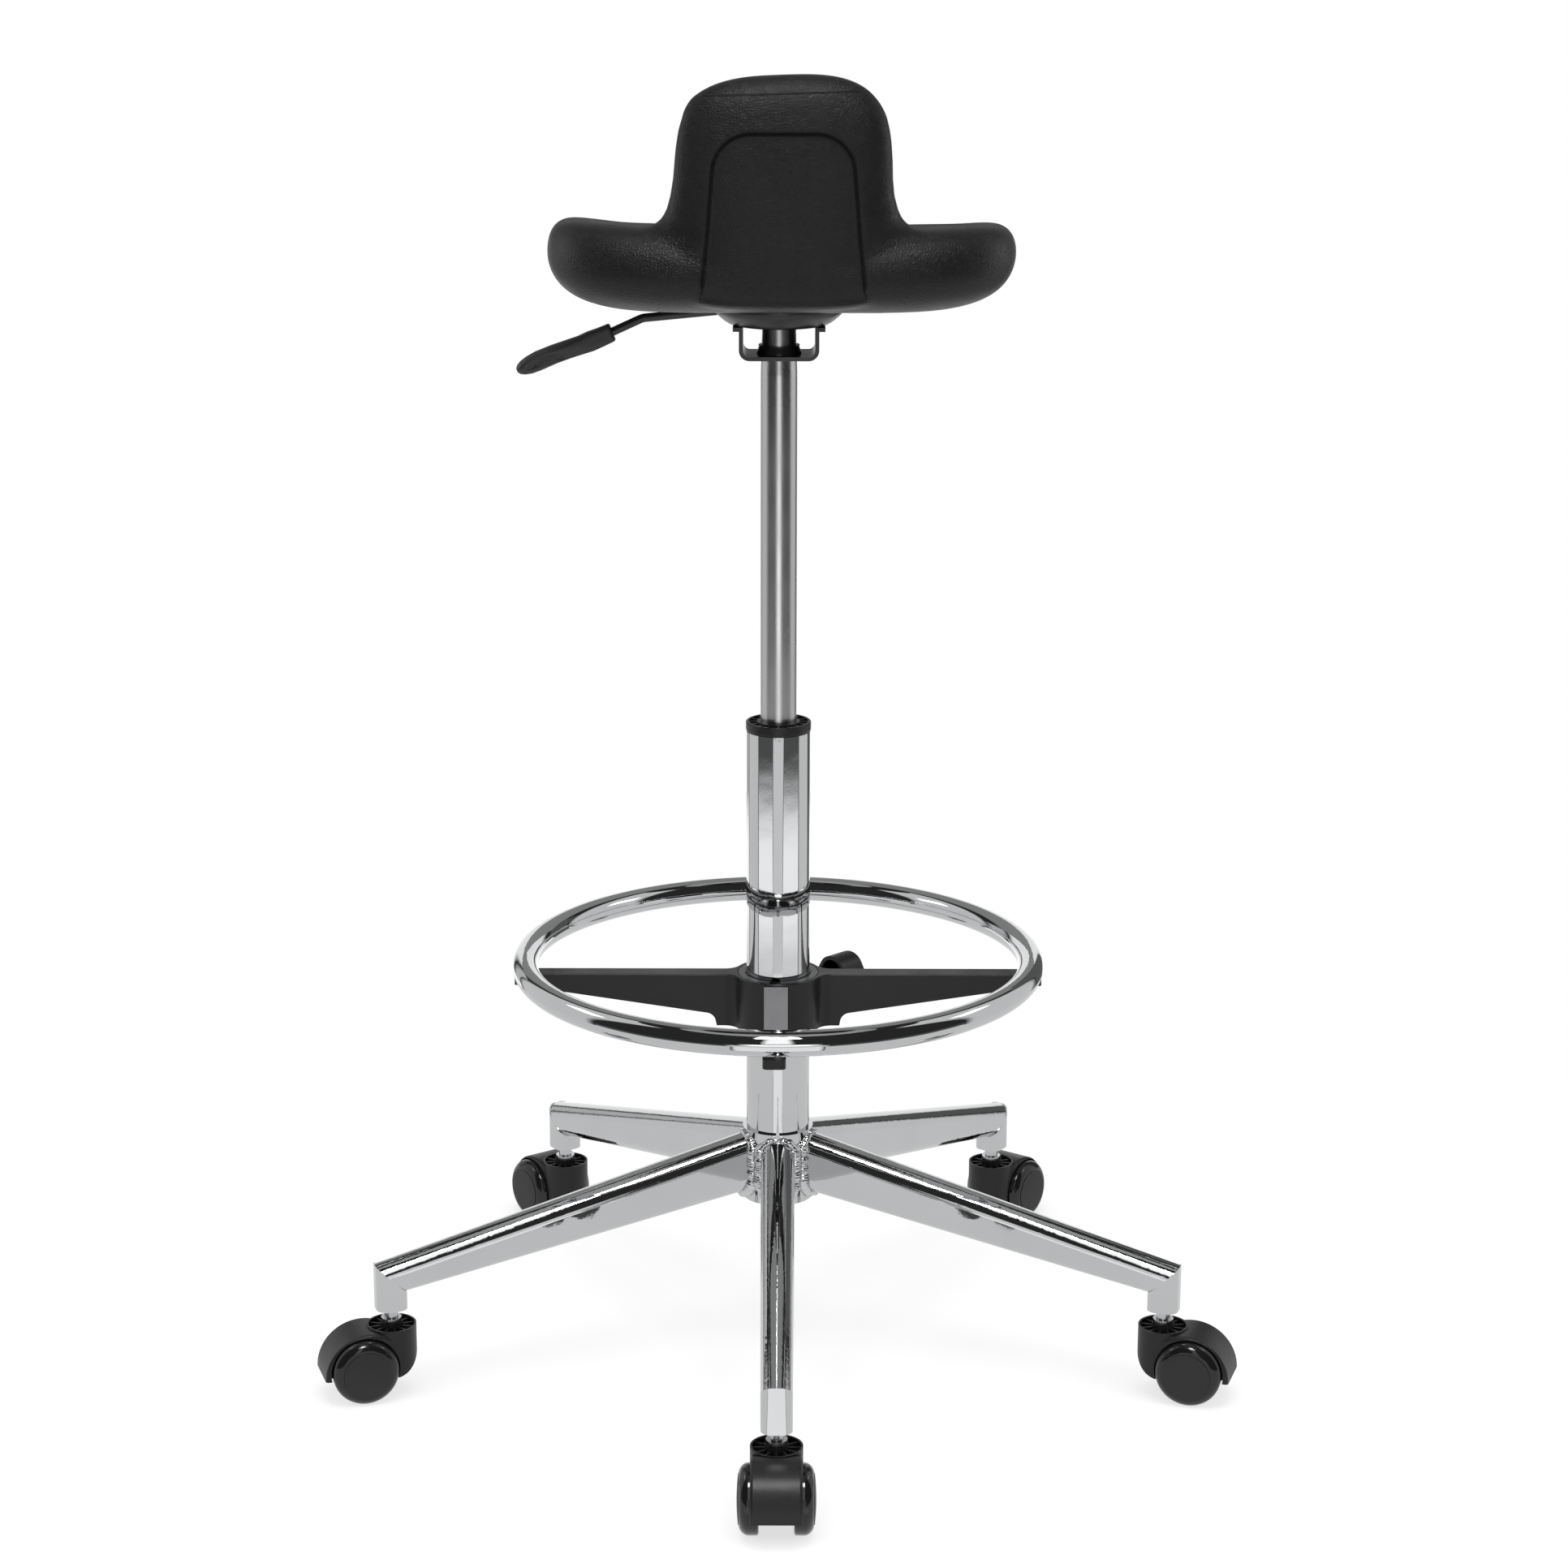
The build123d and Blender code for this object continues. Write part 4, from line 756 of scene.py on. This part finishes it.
def cut_board_pocket(seat):
    """The pocket in the underside that the plywood board fills."""
    low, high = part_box("seat_board")
    gap = POCKET_GAP * MM
    block = bmesh.new()
    bmesh.ops.create_cube(block, size=1.0)
    for vert in block.verts:
        vert.co.x = low.x - gap if vert.co.x < 0 else high.x + gap
        vert.co.y = low.y - gap if vert.co.y < 0 else high.y + gap
        vert.co.z = low.z - POCKET_OPEN * MM if vert.co.z < 0 else high.z + gap
    mesh = bpy.data.meshes.new("pocket")
    block.to_mesh(mesh)
    block.free()
    cutter = new_object("pocket", mesh)
    cut = seat.modifiers.new("pocket", "BOOLEAN")
    cut.object = cutter
    cut.operation = "DIFFERENCE"
    cut.solver = "EXACT"
    apply_modifiers(seat)
    bpy.data.objects.remove(cutter)


seat = make_seat()
cut_board_pocket(seat)
seat.data.materials.clear()
seat.data.materials.append(finishes["polyurethane_foam"])
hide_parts("seat_foam")
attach(seat, "seat")


# ------------------------ release handle
# Sizes in mm. HANDLE_AT and GROOVE_AT count along the handle from its inner end.
HANDLE_ROOT = (-126.0, 820.9)  # x and z of its inner end
HANDLE_ALONG = (-0.928, -0.373)  # its direction, in x and z
HANDLE_AT = (0, 1.2, 10, 18, 26, 37, 47, 60, 68, 73, 76.5, 78.2)
HANDLE_TOP = (6.3, 6.9, 6.9, 7.3, 6.9, 7.6, 8.1, 8.1, 7.0, 5.6, 3.7, 1.6)
HANDLE_LOW = (-6.3, -6.9, -7.5, -7.9, -7.4, -6.7, -6.4, -6.9, -6.7, -5.6, -4.0, -1.9)
HANDLE_DEPTH = (5.2, 5.8, 5.8, 5.9, 6.2, 6.9, 7.6, 7.8, 7.0, 5.6, 3.8, 1.6)
HANDLE_SQUARE = (5.0, 5.0, 5.0, 4.6, 3.4, 2.6, 2.3, 2.2, 2.1, 2.0, 2.0, 2.0)  # 2 is an ellipse
GROOVE_AT = (22, 26, 33, 42, 51, 58, 66, 74)
GROOVE_LINE = (-7.6, -7.1, -5.7, -3.1, -0.7, 0.0, -0.7, -1.7)
GROOVE_DEPTH = (0.0, 0.9, 2.2, 3.0, 3.2, 3.0, 2.2, 0.0)
GROOVE_BELOW, GROOVE_ABOVE = 2.4, 3.4  # its width on either side of its line
SLEEVE_END = (0.0, 0.5, 1.2)  # sections of the rounded inner end
BLADE_SPAN = (2.5, 76.5)
BLADE_TIP = (77.6, 78.2)
HANDLE_AROUND, HANDLE_SECTIONS = 96, 110


def make_handle():
    """Moulded paddle: a square sleeve and a rounded blade with a groove on both faces."""
    points = []
    for at in (*SLEEVE_END, *np.linspace(*BLADE_SPAN, HANDLE_SECTIONS), *BLADE_TIP):
        top, low = np.interp(at, HANDLE_AT, HANDLE_TOP), np.interp(at, HANDLE_AT, HANDLE_LOW)
        depth = np.interp(at, HANDLE_AT, HANDLE_DEPTH)
        square = np.interp(at, HANDLE_AT, HANDLE_SQUARE)
        line = np.interp(at, GROOVE_AT, GROOVE_LINE)
        dent = np.interp(at, GROOVE_AT, GROOVE_DEPTH, 0, 0)
        for turn in np.arange(HANDLE_AROUND) * 2 * math.pi / HANDLE_AROUND:
            c, n = math.cos(turn), math.sin(turn)
            reach = (abs(c) ** square + abs(n) ** square) ** (-1 / square)
            up = (top + low) / 2 + reach * n * (top - low) / 2
            over = up - line
            width = GROOVE_BELOW if over < 0 else GROOVE_ABOVE
            across = reach * c * (depth - dent * math.exp(-((over / width) ** 2)))
            x = HANDLE_ROOT[0] + HANDLE_ALONG[0] * at + up * HANDLE_ALONG[1]
            z = HANDLE_ROOT[1] + HANDLE_ALONG[1] * at - up * HANDLE_ALONG[0]
            points.append((x * MM, across * MM, z * MM))
    around, count = HANDLE_AROUND, len(points) // HANDLE_AROUND
    faces = [
        (r + k, r + (k + 1) % around, r + around + (k + 1) % around, r + around + k)
        for r in range(0, (count - 1) * around, around)
        for k in range(around)
    ]
    faces += [tuple(range(around)), tuple(range((count - 1) * around, count * around))]
    handle = mesh_object("handle_moulding", points, faces)
    outwards(handle)
    return handle


handle = make_handle()
handle.data.materials.append(moulded_plastic(*GRIP))
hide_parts("lever_handle")
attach(handle, "lever")


# ------------------------ welds
# Sizes in mm.
ARM_COUNT = 5
HUB_R = 28.0
ARM_ROOT_W = 27.6
ARM_ROOT_LOW, ARM_ROOT_TOP = 133.5, 182.0
BEAD_R = 5.2
BEAD_OUT = 0.6  # its middle stands this far off the hub
BEAD_SLIM_Z = (170.0, 182.5)  # it thins between these heights, to BEAD_SLIM of its radius
BEAD_SLIM = 0.45
BEAD_STEP = 0.5  # between the points along it
RIPPLE_LENGTH = 1.9
RIPPLE_SHARE = 0.045
LUMP = 2.2  # how far its lumps reach, from inmost to outmost


def weld_tree(plate):
    """Rippled bead where the end of an arm meets the round hub, repeated round the hub."""
    tree = bpy.data.node_groups.new("weld_beads", "GeometryNodeTree")
    tree.interface.new_socket("Beads", in_out="OUTPUT", socket_type="NodeSocketGeometry")
    for name in ("Arm width", "Arm height", "Middle height", "Hub radius", "Bead radius", "Ripple length"):
        tree.interface.new_socket(name, in_out="INPUT", socket_type="NodeSocketFloat")
    size = tree.nodes.new("NodeGroupInput").outputs
    half = add_node(tree, "ShaderNodeMath", {0: size["Arm width"], 1: 0.499}, operation="MULTIPLY")
    outline = add_node(
        tree,
        "GeometryNodeCurvePrimitiveQuadrilateral",
        {"Width": size["Arm width"], "Height": size["Arm height"]},
    )
    stadium = add_node(
        tree,
        "GeometryNodeFilletCurve",
        {"Curve": outline.outputs["Curve"], "Radius": half.outputs["Value"], "Count": 24},
        mode="POLY",
    )
    even = add_node(
        tree,
        "GeometryNodeResampleCurve",
        {"Curve": stadium.outputs["Curve"], "Length": BEAD_STEP * MM},
        mode="LENGTH",
    )
    flat = add_node(
        tree, "ShaderNodeSeparateXYZ", {"Vector": add_node(tree, "GeometryNodeInputPosition").outputs[0]}
    )
    across = add_node(tree, "ShaderNodeMath", {0: flat.outputs["X"], 1: 2.0}, operation="POWER")
    whole = add_node(tree, "ShaderNodeMath", {0: size["Hub radius"], 1: 2.0}, operation="POWER")
    rest = add_node(
        tree, "ShaderNodeMath", {0: whole.outputs["Value"], 1: across.outputs["Value"]}, operation="SUBTRACT"
    )
    out = add_node(tree, "ShaderNodeMath", {0: rest.outputs["Value"]}, operation="SQRT")
    up = add_node(tree, "ShaderNodeMath", {0: flat.outputs["Y"], 1: size["Middle height"]}, operation="ADD")
    on_hub = add_node(
        tree,
        "ShaderNodeCombineXYZ",
        {"X": out.outputs["Value"], "Y": flat.outputs["X"], "Z": up.outputs["Value"]},
    )
    path = add_node(
        tree, "GeometryNodeSetPosition", {
            "Geometry": even.outputs["Curve"],
            "Position": on_hub.outputs["Vector"],
        }
    )
    here = add_node(
        tree, "ShaderNodeSeparateXYZ", {"Vector": add_node(tree, "GeometryNodeInputPosition").outputs[0]}
    )
    # The bead is widest down the sides, and thin where it passes over and under the arm.
    slim = add_node(
        tree,
        "ShaderNodeMapRange",
        {
            "Value": here.outputs["Z"],
            "From Min": BEAD_SLIM_Z[0] * MM,
            "From Max": BEAD_SLIM_Z[1] * MM,
            "To Min": 1.0,
            "To Max": BEAD_SLIM,
        },
        interpolation_type="SMOOTHSTEP",
    )
    laid = add_node(tree, "GeometryNodeSplineParameter")
    turns = add_node(
        tree, "ShaderNodeMath", {0: laid.outputs["Length"], 1: size["Ripple length"]}, operation="DIVIDE"
    )
    angle = add_node(
        tree, "ShaderNodeMath", {0: turns.outputs["Value"], 1: 2 * math.pi}, operation="MULTIPLY"
    )
    wave = add_node(tree, "ShaderNodeMath", {0: angle.outputs["Value"]}, operation="SINE")
    ripple = add_node(
        tree, "ShaderNodeMath", {0: wave.outputs["Value"], 1: RIPPLE_SHARE, 2: 1.0}, operation="MULTIPLY_ADD"
    )
    uneven = add_node(tree, "ShaderNodeTexNoise", {"Scale": 160.0, "Detail": 2.0})
    swell = add_node(
        tree,
        "ShaderNodeMapRange",
        {"Value": uneven.outputs["Fac"], "From Min": 0.3, "From Max": 0.7, "To Min": 0.78, "To Max": 1.22},
    )
    wide = add_node(
        tree, "ShaderNodeMath", {0: slim.outputs["Result"], 1: swell.outputs["Result"]}, operation="MULTIPLY"
    )
    rippled = add_node(
        tree, "ShaderNodeMath", {0: wide.outputs["Value"], 1: ripple.outputs["Value"]}, operation="MULTIPLY"
    )
    thick = add_node(
        tree, "ShaderNodeMath", {0: rippled.outputs["Value"], 1: size["Bead radius"]}, operation="MULTIPLY"
    )
    round_section = add_node(tree, "GeometryNodeCurvePrimitiveCircle", {"Resolution": 14, "Radius": 1.0})
    bead = add_node(
        tree,
        "GeometryNodeCurveToMesh",
        {
            "Curve": path.outputs["Geometry"],
            "Profile Curve": round_section.outputs["Curve"],
            "Scale": thick.outputs["Value"],
        },
    )
    arms = add_node(tree, "GeometryNodeMeshLine", {"Count": ARM_COUNT, "Offset": (0.0, 0.0, 0.0)})
    index = add_node(tree, "GeometryNodeInputIndex")
    turn = add_node(
        tree,
        "ShaderNodeMath",
        {0: index.outputs[0], 1: 2 * math.pi / ARM_COUNT, 2: -math.pi / 2},
        operation="MULTIPLY_ADD",
    )
    facing = add_node(tree, "ShaderNodeCombineXYZ", {"Z": turn.outputs["Value"]})
    placed = add_node(
        tree,
        "GeometryNodeInstanceOnPoints",
        {
            "Points": arms.outputs["Mesh"],
            "Instance": bead.outputs["Mesh"],
            "Rotation": facing.outputs["Vector"],
        },
    )
    real = add_node(tree, "GeometryNodeRealizeInstances", {"Geometry": placed.outputs["Instances"]})
    lumps = add_node(tree, "ShaderNodeTexNoise", {"Scale": 240.0, "Detail": 3.0})
    centred = add_node(
        tree, "ShaderNodeVectorMath", {0: lumps.outputs["Color"], 1: (0.5, 0.5, 0.5)}, operation="SUBTRACT"
    )
    pushed = add_node(
        tree, "ShaderNodeVectorMath", {0: centred.outputs["Vector"], "Scale": LUMP * MM}, operation="SCALE"
    )
    lumpy = add_node(
        tree,
        "GeometryNodeSetPosition",
        {"Geometry": real.outputs["Geometry"], "Offset": pushed.outputs["Vector"]},
    )
    coated = add_node(
        tree, "GeometryNodeSetMaterial", {"Geometry": lumpy.outputs["Geometry"], "Material": plate}
    )
    result = tree.nodes.new("NodeGroupOutput")
    tree.links.new(coated.outputs["Geometry"], result.inputs[0])
    return tree


def grown(name, tree, sizes):
    """Mesh that a Geometry Nodes tree makes from its named sizes."""
    obj = mesh_object(name, [], [])
    modifier = obj.modifiers.new("grown", "NODES")
    modifier.node_group = tree
    for item in tree.interface.items_tree:
        if item.in_out == "INPUT":
            modifier[item.identifier] = sizes[item.name]
    apply_modifiers(obj)
    obj.data.polygons.foreach_set("use_smooth", [True] * len(obj.data.polygons))
    outwards(obj)
    return obj


welds = grown(
    "arm_welds",
    weld_tree(plated_weld()),
    {
        "Arm width": ARM_ROOT_W * MM,
        "Arm height": (ARM_ROOT_TOP - ARM_ROOT_LOW) * MM,
        "Middle height": (ARM_ROOT_TOP + ARM_ROOT_LOW) / 2 * MM,
        "Hub radius": (HUB_R + BEAD_OUT) * MM,
        "Bead radius": BEAD_R * MM,
        "Ripple length": RIPPLE_LENGTH * MM,
    },
)
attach(welds, "base")


# ------------------------ studio
# Distances and heights in metres, turns in degrees.
FLOOR_REACH = 15
ROOM_R, ROOM_LEVEL = 3.4, 0.03
SKY_LEVEL = 0.45  # as a light; where it is seen it is full white

# Name, turns of its two ends from -Y towards +X, distances from the axis and heights of its
# lower and upper edge, level, and the turn over which it fades at its ends.
CARDS = (
    ("side_card_left", (-130, -74), (0.95, 0.95), (0.0, 1.9), 0.78, 5),
    ("side_card_right", (76, 130), (0.95, 0.95), (0.0, 1.9), 0.78, 5),
    ("front_card", (-20, 20), (1.02, 1.02), (0.0, 0.26), 0.85, 3),
    ("front_floor_card", (-18, 18), (0.42, 1.0), (0.002, 0.002), 1.18, 2),
    ("front_lamp", (-16, 18), (2.2, 2.2), (0.0, 0.45), 2.6, 8),
    ("upper_strip_lamp", (-7, 7), (1.9, 1.5), (0.62, 2.0), 1.6, 3),
    ("back_card", (150, 212), (1.7, 1.7), (0.0, 0.85), 1.05, 6),
    ("upper_back_cloth", (140, 222), (1.7, 0.76), (0.86, 2.24), 0.3, 6),
    ("back_left_card", (212, 236), (1.7, 1.7), (0.0, 0.85), 0.6, 6),
    ("dark_strip_right", (131, 149), (1.0, 1.0), (0.0, 0.9), 0.12, 0),
    ("crest_lamp", (-13, 13), (1.35, 0.85), (2.0, 2.15), 26.0, 3),
    ("glint_strip_left", (-108, -84), (0.92, 0.92), (0.86, 1.08), 4.0, 4),
    ("glint_strip_right", (84, 108), (0.92, 0.92), (0.86, 1.08), 4.0, 4),
    ("overhead_card", (0, 360), (0.0, 0.75), (2.25, 2.25), 0.42, 0),
)
CARD_COLUMNS, CARD_ROWS = 48, 8

# Name, place, width, height and power in watts. Each is aimed at LAMP_AIM.
LAMPS = (
    ("overhead_softbox", (0, -0.3, 2.7), 2.4, 2.4, 62),
    ("left_softbox", (-2.1, -1.3, 1.5), 1.2, 1.8, 26),
    ("right_softbox", (2.1, -1.3, 1.5), 1.2, 1.8, 26),
)
LAMP_AIM = (0, 0, 0.6)

CAMERA_PLACE = (0.0044, -2.748, 1.208)
CAMERA_DOWN, CAMERA_ROLL = 15.08, 0.12
CAMERA_LENS, CAMERA_SENSOR = 83.70, 36.0  # mm


def floor_paint():
    # Matt white studio floor. It shows as white, and keeps a faint shadow under the object.
    material, tree = empty_material("Matt_white_floor")
    path = add_node(tree, "ShaderNodeLightPath")
    place = add_node(tree, "ShaderNodeTexCoord").outputs["Object"]
    flat = add_node(tree, "ShaderNodeVectorMath", {0: place, 1: (1.0, 1.0, 0.0)}, operation="MULTIPLY")
    away = add_node(tree, "ShaderNodeVectorMath", {0: flat.outputs["Vector"]}, operation="LENGTH")
    near = add_node(
        tree,
        "ShaderNodeMapRange",
        {"Value": away.outputs["Value"], "From Min": 0.95, "From Max": 1.2, "To Min": 0.8, "To Max": 1.3},
    )
    far = add_node(
        tree,
        "ShaderNodeMapRange",
        {"Value": away.outputs["Value"], "From Min": 1.45, "From Max": 1.95, "To Min": 1.0, "To Max": 0.08},
        interpolation_type="SMOOTHSTEP",
    )
    seen = add_node(
        tree, "ShaderNodeMath", {0: near.outputs["Result"], 1: far.outputs["Result"]}, operation="MULTIPLY"
    )
    lit = add_node(tree, "ShaderNodeBsdfDiffuse", {"Color": srgb("#E6E6E6")})
    pale = add_node(tree, "ShaderNodeBsdfDiffuse", {"Color": srgb("#FDFDFD")})
    white = add_node(tree, "ShaderNodeEmission", {"Strength": 1.0})
    mirrored = add_node(tree, "ShaderNodeEmission", {"Strength": seen.outputs["Value"]})
    plain = add_node(
        tree,
        "ShaderNodeMapRange",
        {"Value": away.outputs["Value"], "From Min": 0.35, "From Max": 0.85, "To Min": 0.7, "To Max": 1.0},
    )
    for_camera = add_node(
        tree, "ShaderNodeMixShader", {0: plain.outputs["Result"], 1: pale.outputs[0], 2: white.outputs[0]}
    )
    camera_view = add_node(
        tree,
        "ShaderNodeMixShader",
        {0: path.outputs["Is Camera Ray"], 1: lit.outputs[0], 2: for_camera.outputs[0]},
    )
    whole = add_node(
        tree,
        "ShaderNodeMixShader",
        {0: path.outputs["Is Glossy Ray"], 1: camera_view.outputs[0], 2: mirrored.outputs[0]},
    )
    add_node(tree, "ShaderNodeOutputMaterial", {"Surface": whole.outputs[0]})
    return material


def reflector_paper():
    # Plain card and cloth of the studio, which only polished surfaces see.
    material, tree = empty_material("Studio_card")
    level = add_node(tree, "ShaderNodeAttribute", attribute_name="level")
    glow = add_node(tree, "ShaderNodeEmission", {"Strength": level.outputs["Fac"]})
    add_node(tree, "ShaderNodeOutputMaterial", {"Surface": glow.outputs[0]})
    material.cycles.emission_sampling = "NONE"
    return material


def reflections_only(obj, levels):
    """Makes an object of the studio one that only reflections see, as bright as its levels."""
    point_attribute(obj.data, "level", levels)
    obj.data.materials.append(paper)
    obj.visible_camera = False
    obj.visible_diffuse = False
    obj.visible_shadow = False


def reflector(name, turns, reach, heights, level, edge):
    """Curved card round the object. The row that it comes from says what each value is."""
    points, levels = [], []
    for i in range(CARD_COLUMNS + 1):
        angle = turns[0] + (turns[1] - turns[0]) * i / CARD_COLUMNS
        turn = math.radians(angle)
        fade = min(1.0, (angle - turns[0]) / edge, (turns[1] - angle) / edge) if edge else 1.0
        for j in range(CARD_ROWS + 1):
            share = j / CARD_ROWS
            r = reach[0] + (reach[1] - reach[0]) * share
            z = heights[0] + (heights[1] - heights[0]) * share
            points.append((r * math.sin(turn), -r * math.cos(turn), z))
            levels.append(level * fade)
    step = CARD_ROWS + 1
    faces = [
        (i * step + j, (i + 1) * step + j, (i + 1) * step + j + 1, i * step + j + 1)
        for i in range(CARD_COLUMNS)
        for j in range(CARD_ROWS)
    ]
    card = mesh_object(name, points, faces)
    reflections_only(card, levels)


def dark_room():
    """Black surround beyond the cards, which gives polished metal its dark lines."""
    shell = bmesh.new()
    bmesh.ops.create_uvsphere(shell, u_segments=48, v_segments=24, radius=ROOM_R)
    bmesh.ops.reverse_faces(shell, faces=shell.faces)
    mesh = bpy.data.meshes.new("dark_room")
    shell.to_mesh(mesh)
    shell.free()
    room = new_object("dark_room", mesh)
    reflections_only(room, [ROOM_LEVEL] * len(mesh.vertices))


def lamp(name, place, width, height, power):
    """Softbox aimed at the object, which no reflection shows."""
    light = bpy.data.lights.new(name, "AREA")
    light.shape = "RECTANGLE"
    light.size, light.size_y = width, height
    light.energy = power
    obj = new_object(name, light)
    obj.location = place
    toward = [a - b for a, b in zip(LAMP_AIM, place)]
    lean = math.atan2(math.hypot(toward[0], toward[1]), -toward[2])
    obj.rotation_euler = (lean, 0, math.atan2(toward[0], -toward[1]) + math.pi)
    obj.visible_glossy = False


def pale_sky():
    """White all round: dim as a light, and full where the camera or a reflection sees it."""
    world = bpy.data.worlds.new("studio")
    bpy.context.scene.world = world
    world.use_nodes = True
    tree = world.node_tree
    tree.nodes.clear()
    path = add_node(tree, "ShaderNodeLightPath")
    shown = path.outputs["Is Camera Ray"]
    for ray in ("Is Glossy Ray", "Is Transmission Ray"):
        either = add_node(tree, "ShaderNodeMath", {0: shown, 1: path.outputs[ray]}, operation="MAXIMUM")
        shown = either.outputs["Value"]
    level = add_node(tree, "ShaderNodeMapRange", {"Value": shown, "To Min": SKY_LEVEL})
    white = {"Color": (1.0, 1.0, 1.0, 1.0), "Strength": level.outputs["Result"]}
    sky = add_node(tree, "ShaderNodeBackground", white)
    add_node(tree, "ShaderNodeOutputWorld", {"Surface": sky.outputs[0]})


def place_camera():
    camera_data = bpy.data.cameras.new("camera")
    camera_data.lens = CAMERA_LENS
    camera_data.sensor_width = CAMERA_SENSOR
    camera = new_object("camera", camera_data)
    camera.location = CAMERA_PLACE
    tilt, roll = math.radians(90 - CAMERA_DOWN), math.radians(CAMERA_ROLL)
    turned = Matrix.Rotation(tilt, 3, "X") @ Matrix.Rotation(roll, 3, "Z")
    camera.rotation_euler = turned.to_euler()
    bpy.context.scene.camera = camera


paper = reflector_paper()
floor_corners = [(FLOOR_REACH * x, FLOOR_REACH * y, 0) for x, y in ((-1, -1), (1, -1), (1, 1), (-1, 1))]
floor = mesh_object("floor", floor_corners, [(0, 1, 2, 3)], smooth=False)
floor.data.materials.append(floor_paint())
dark_room()
for card in CARDS:
    reflector(*card)
for softbox in LAMPS:
    lamp(*softbox)
pale_sky()
place_camera()
bpy.context.scene.view_settings.view_transform = "Standard"
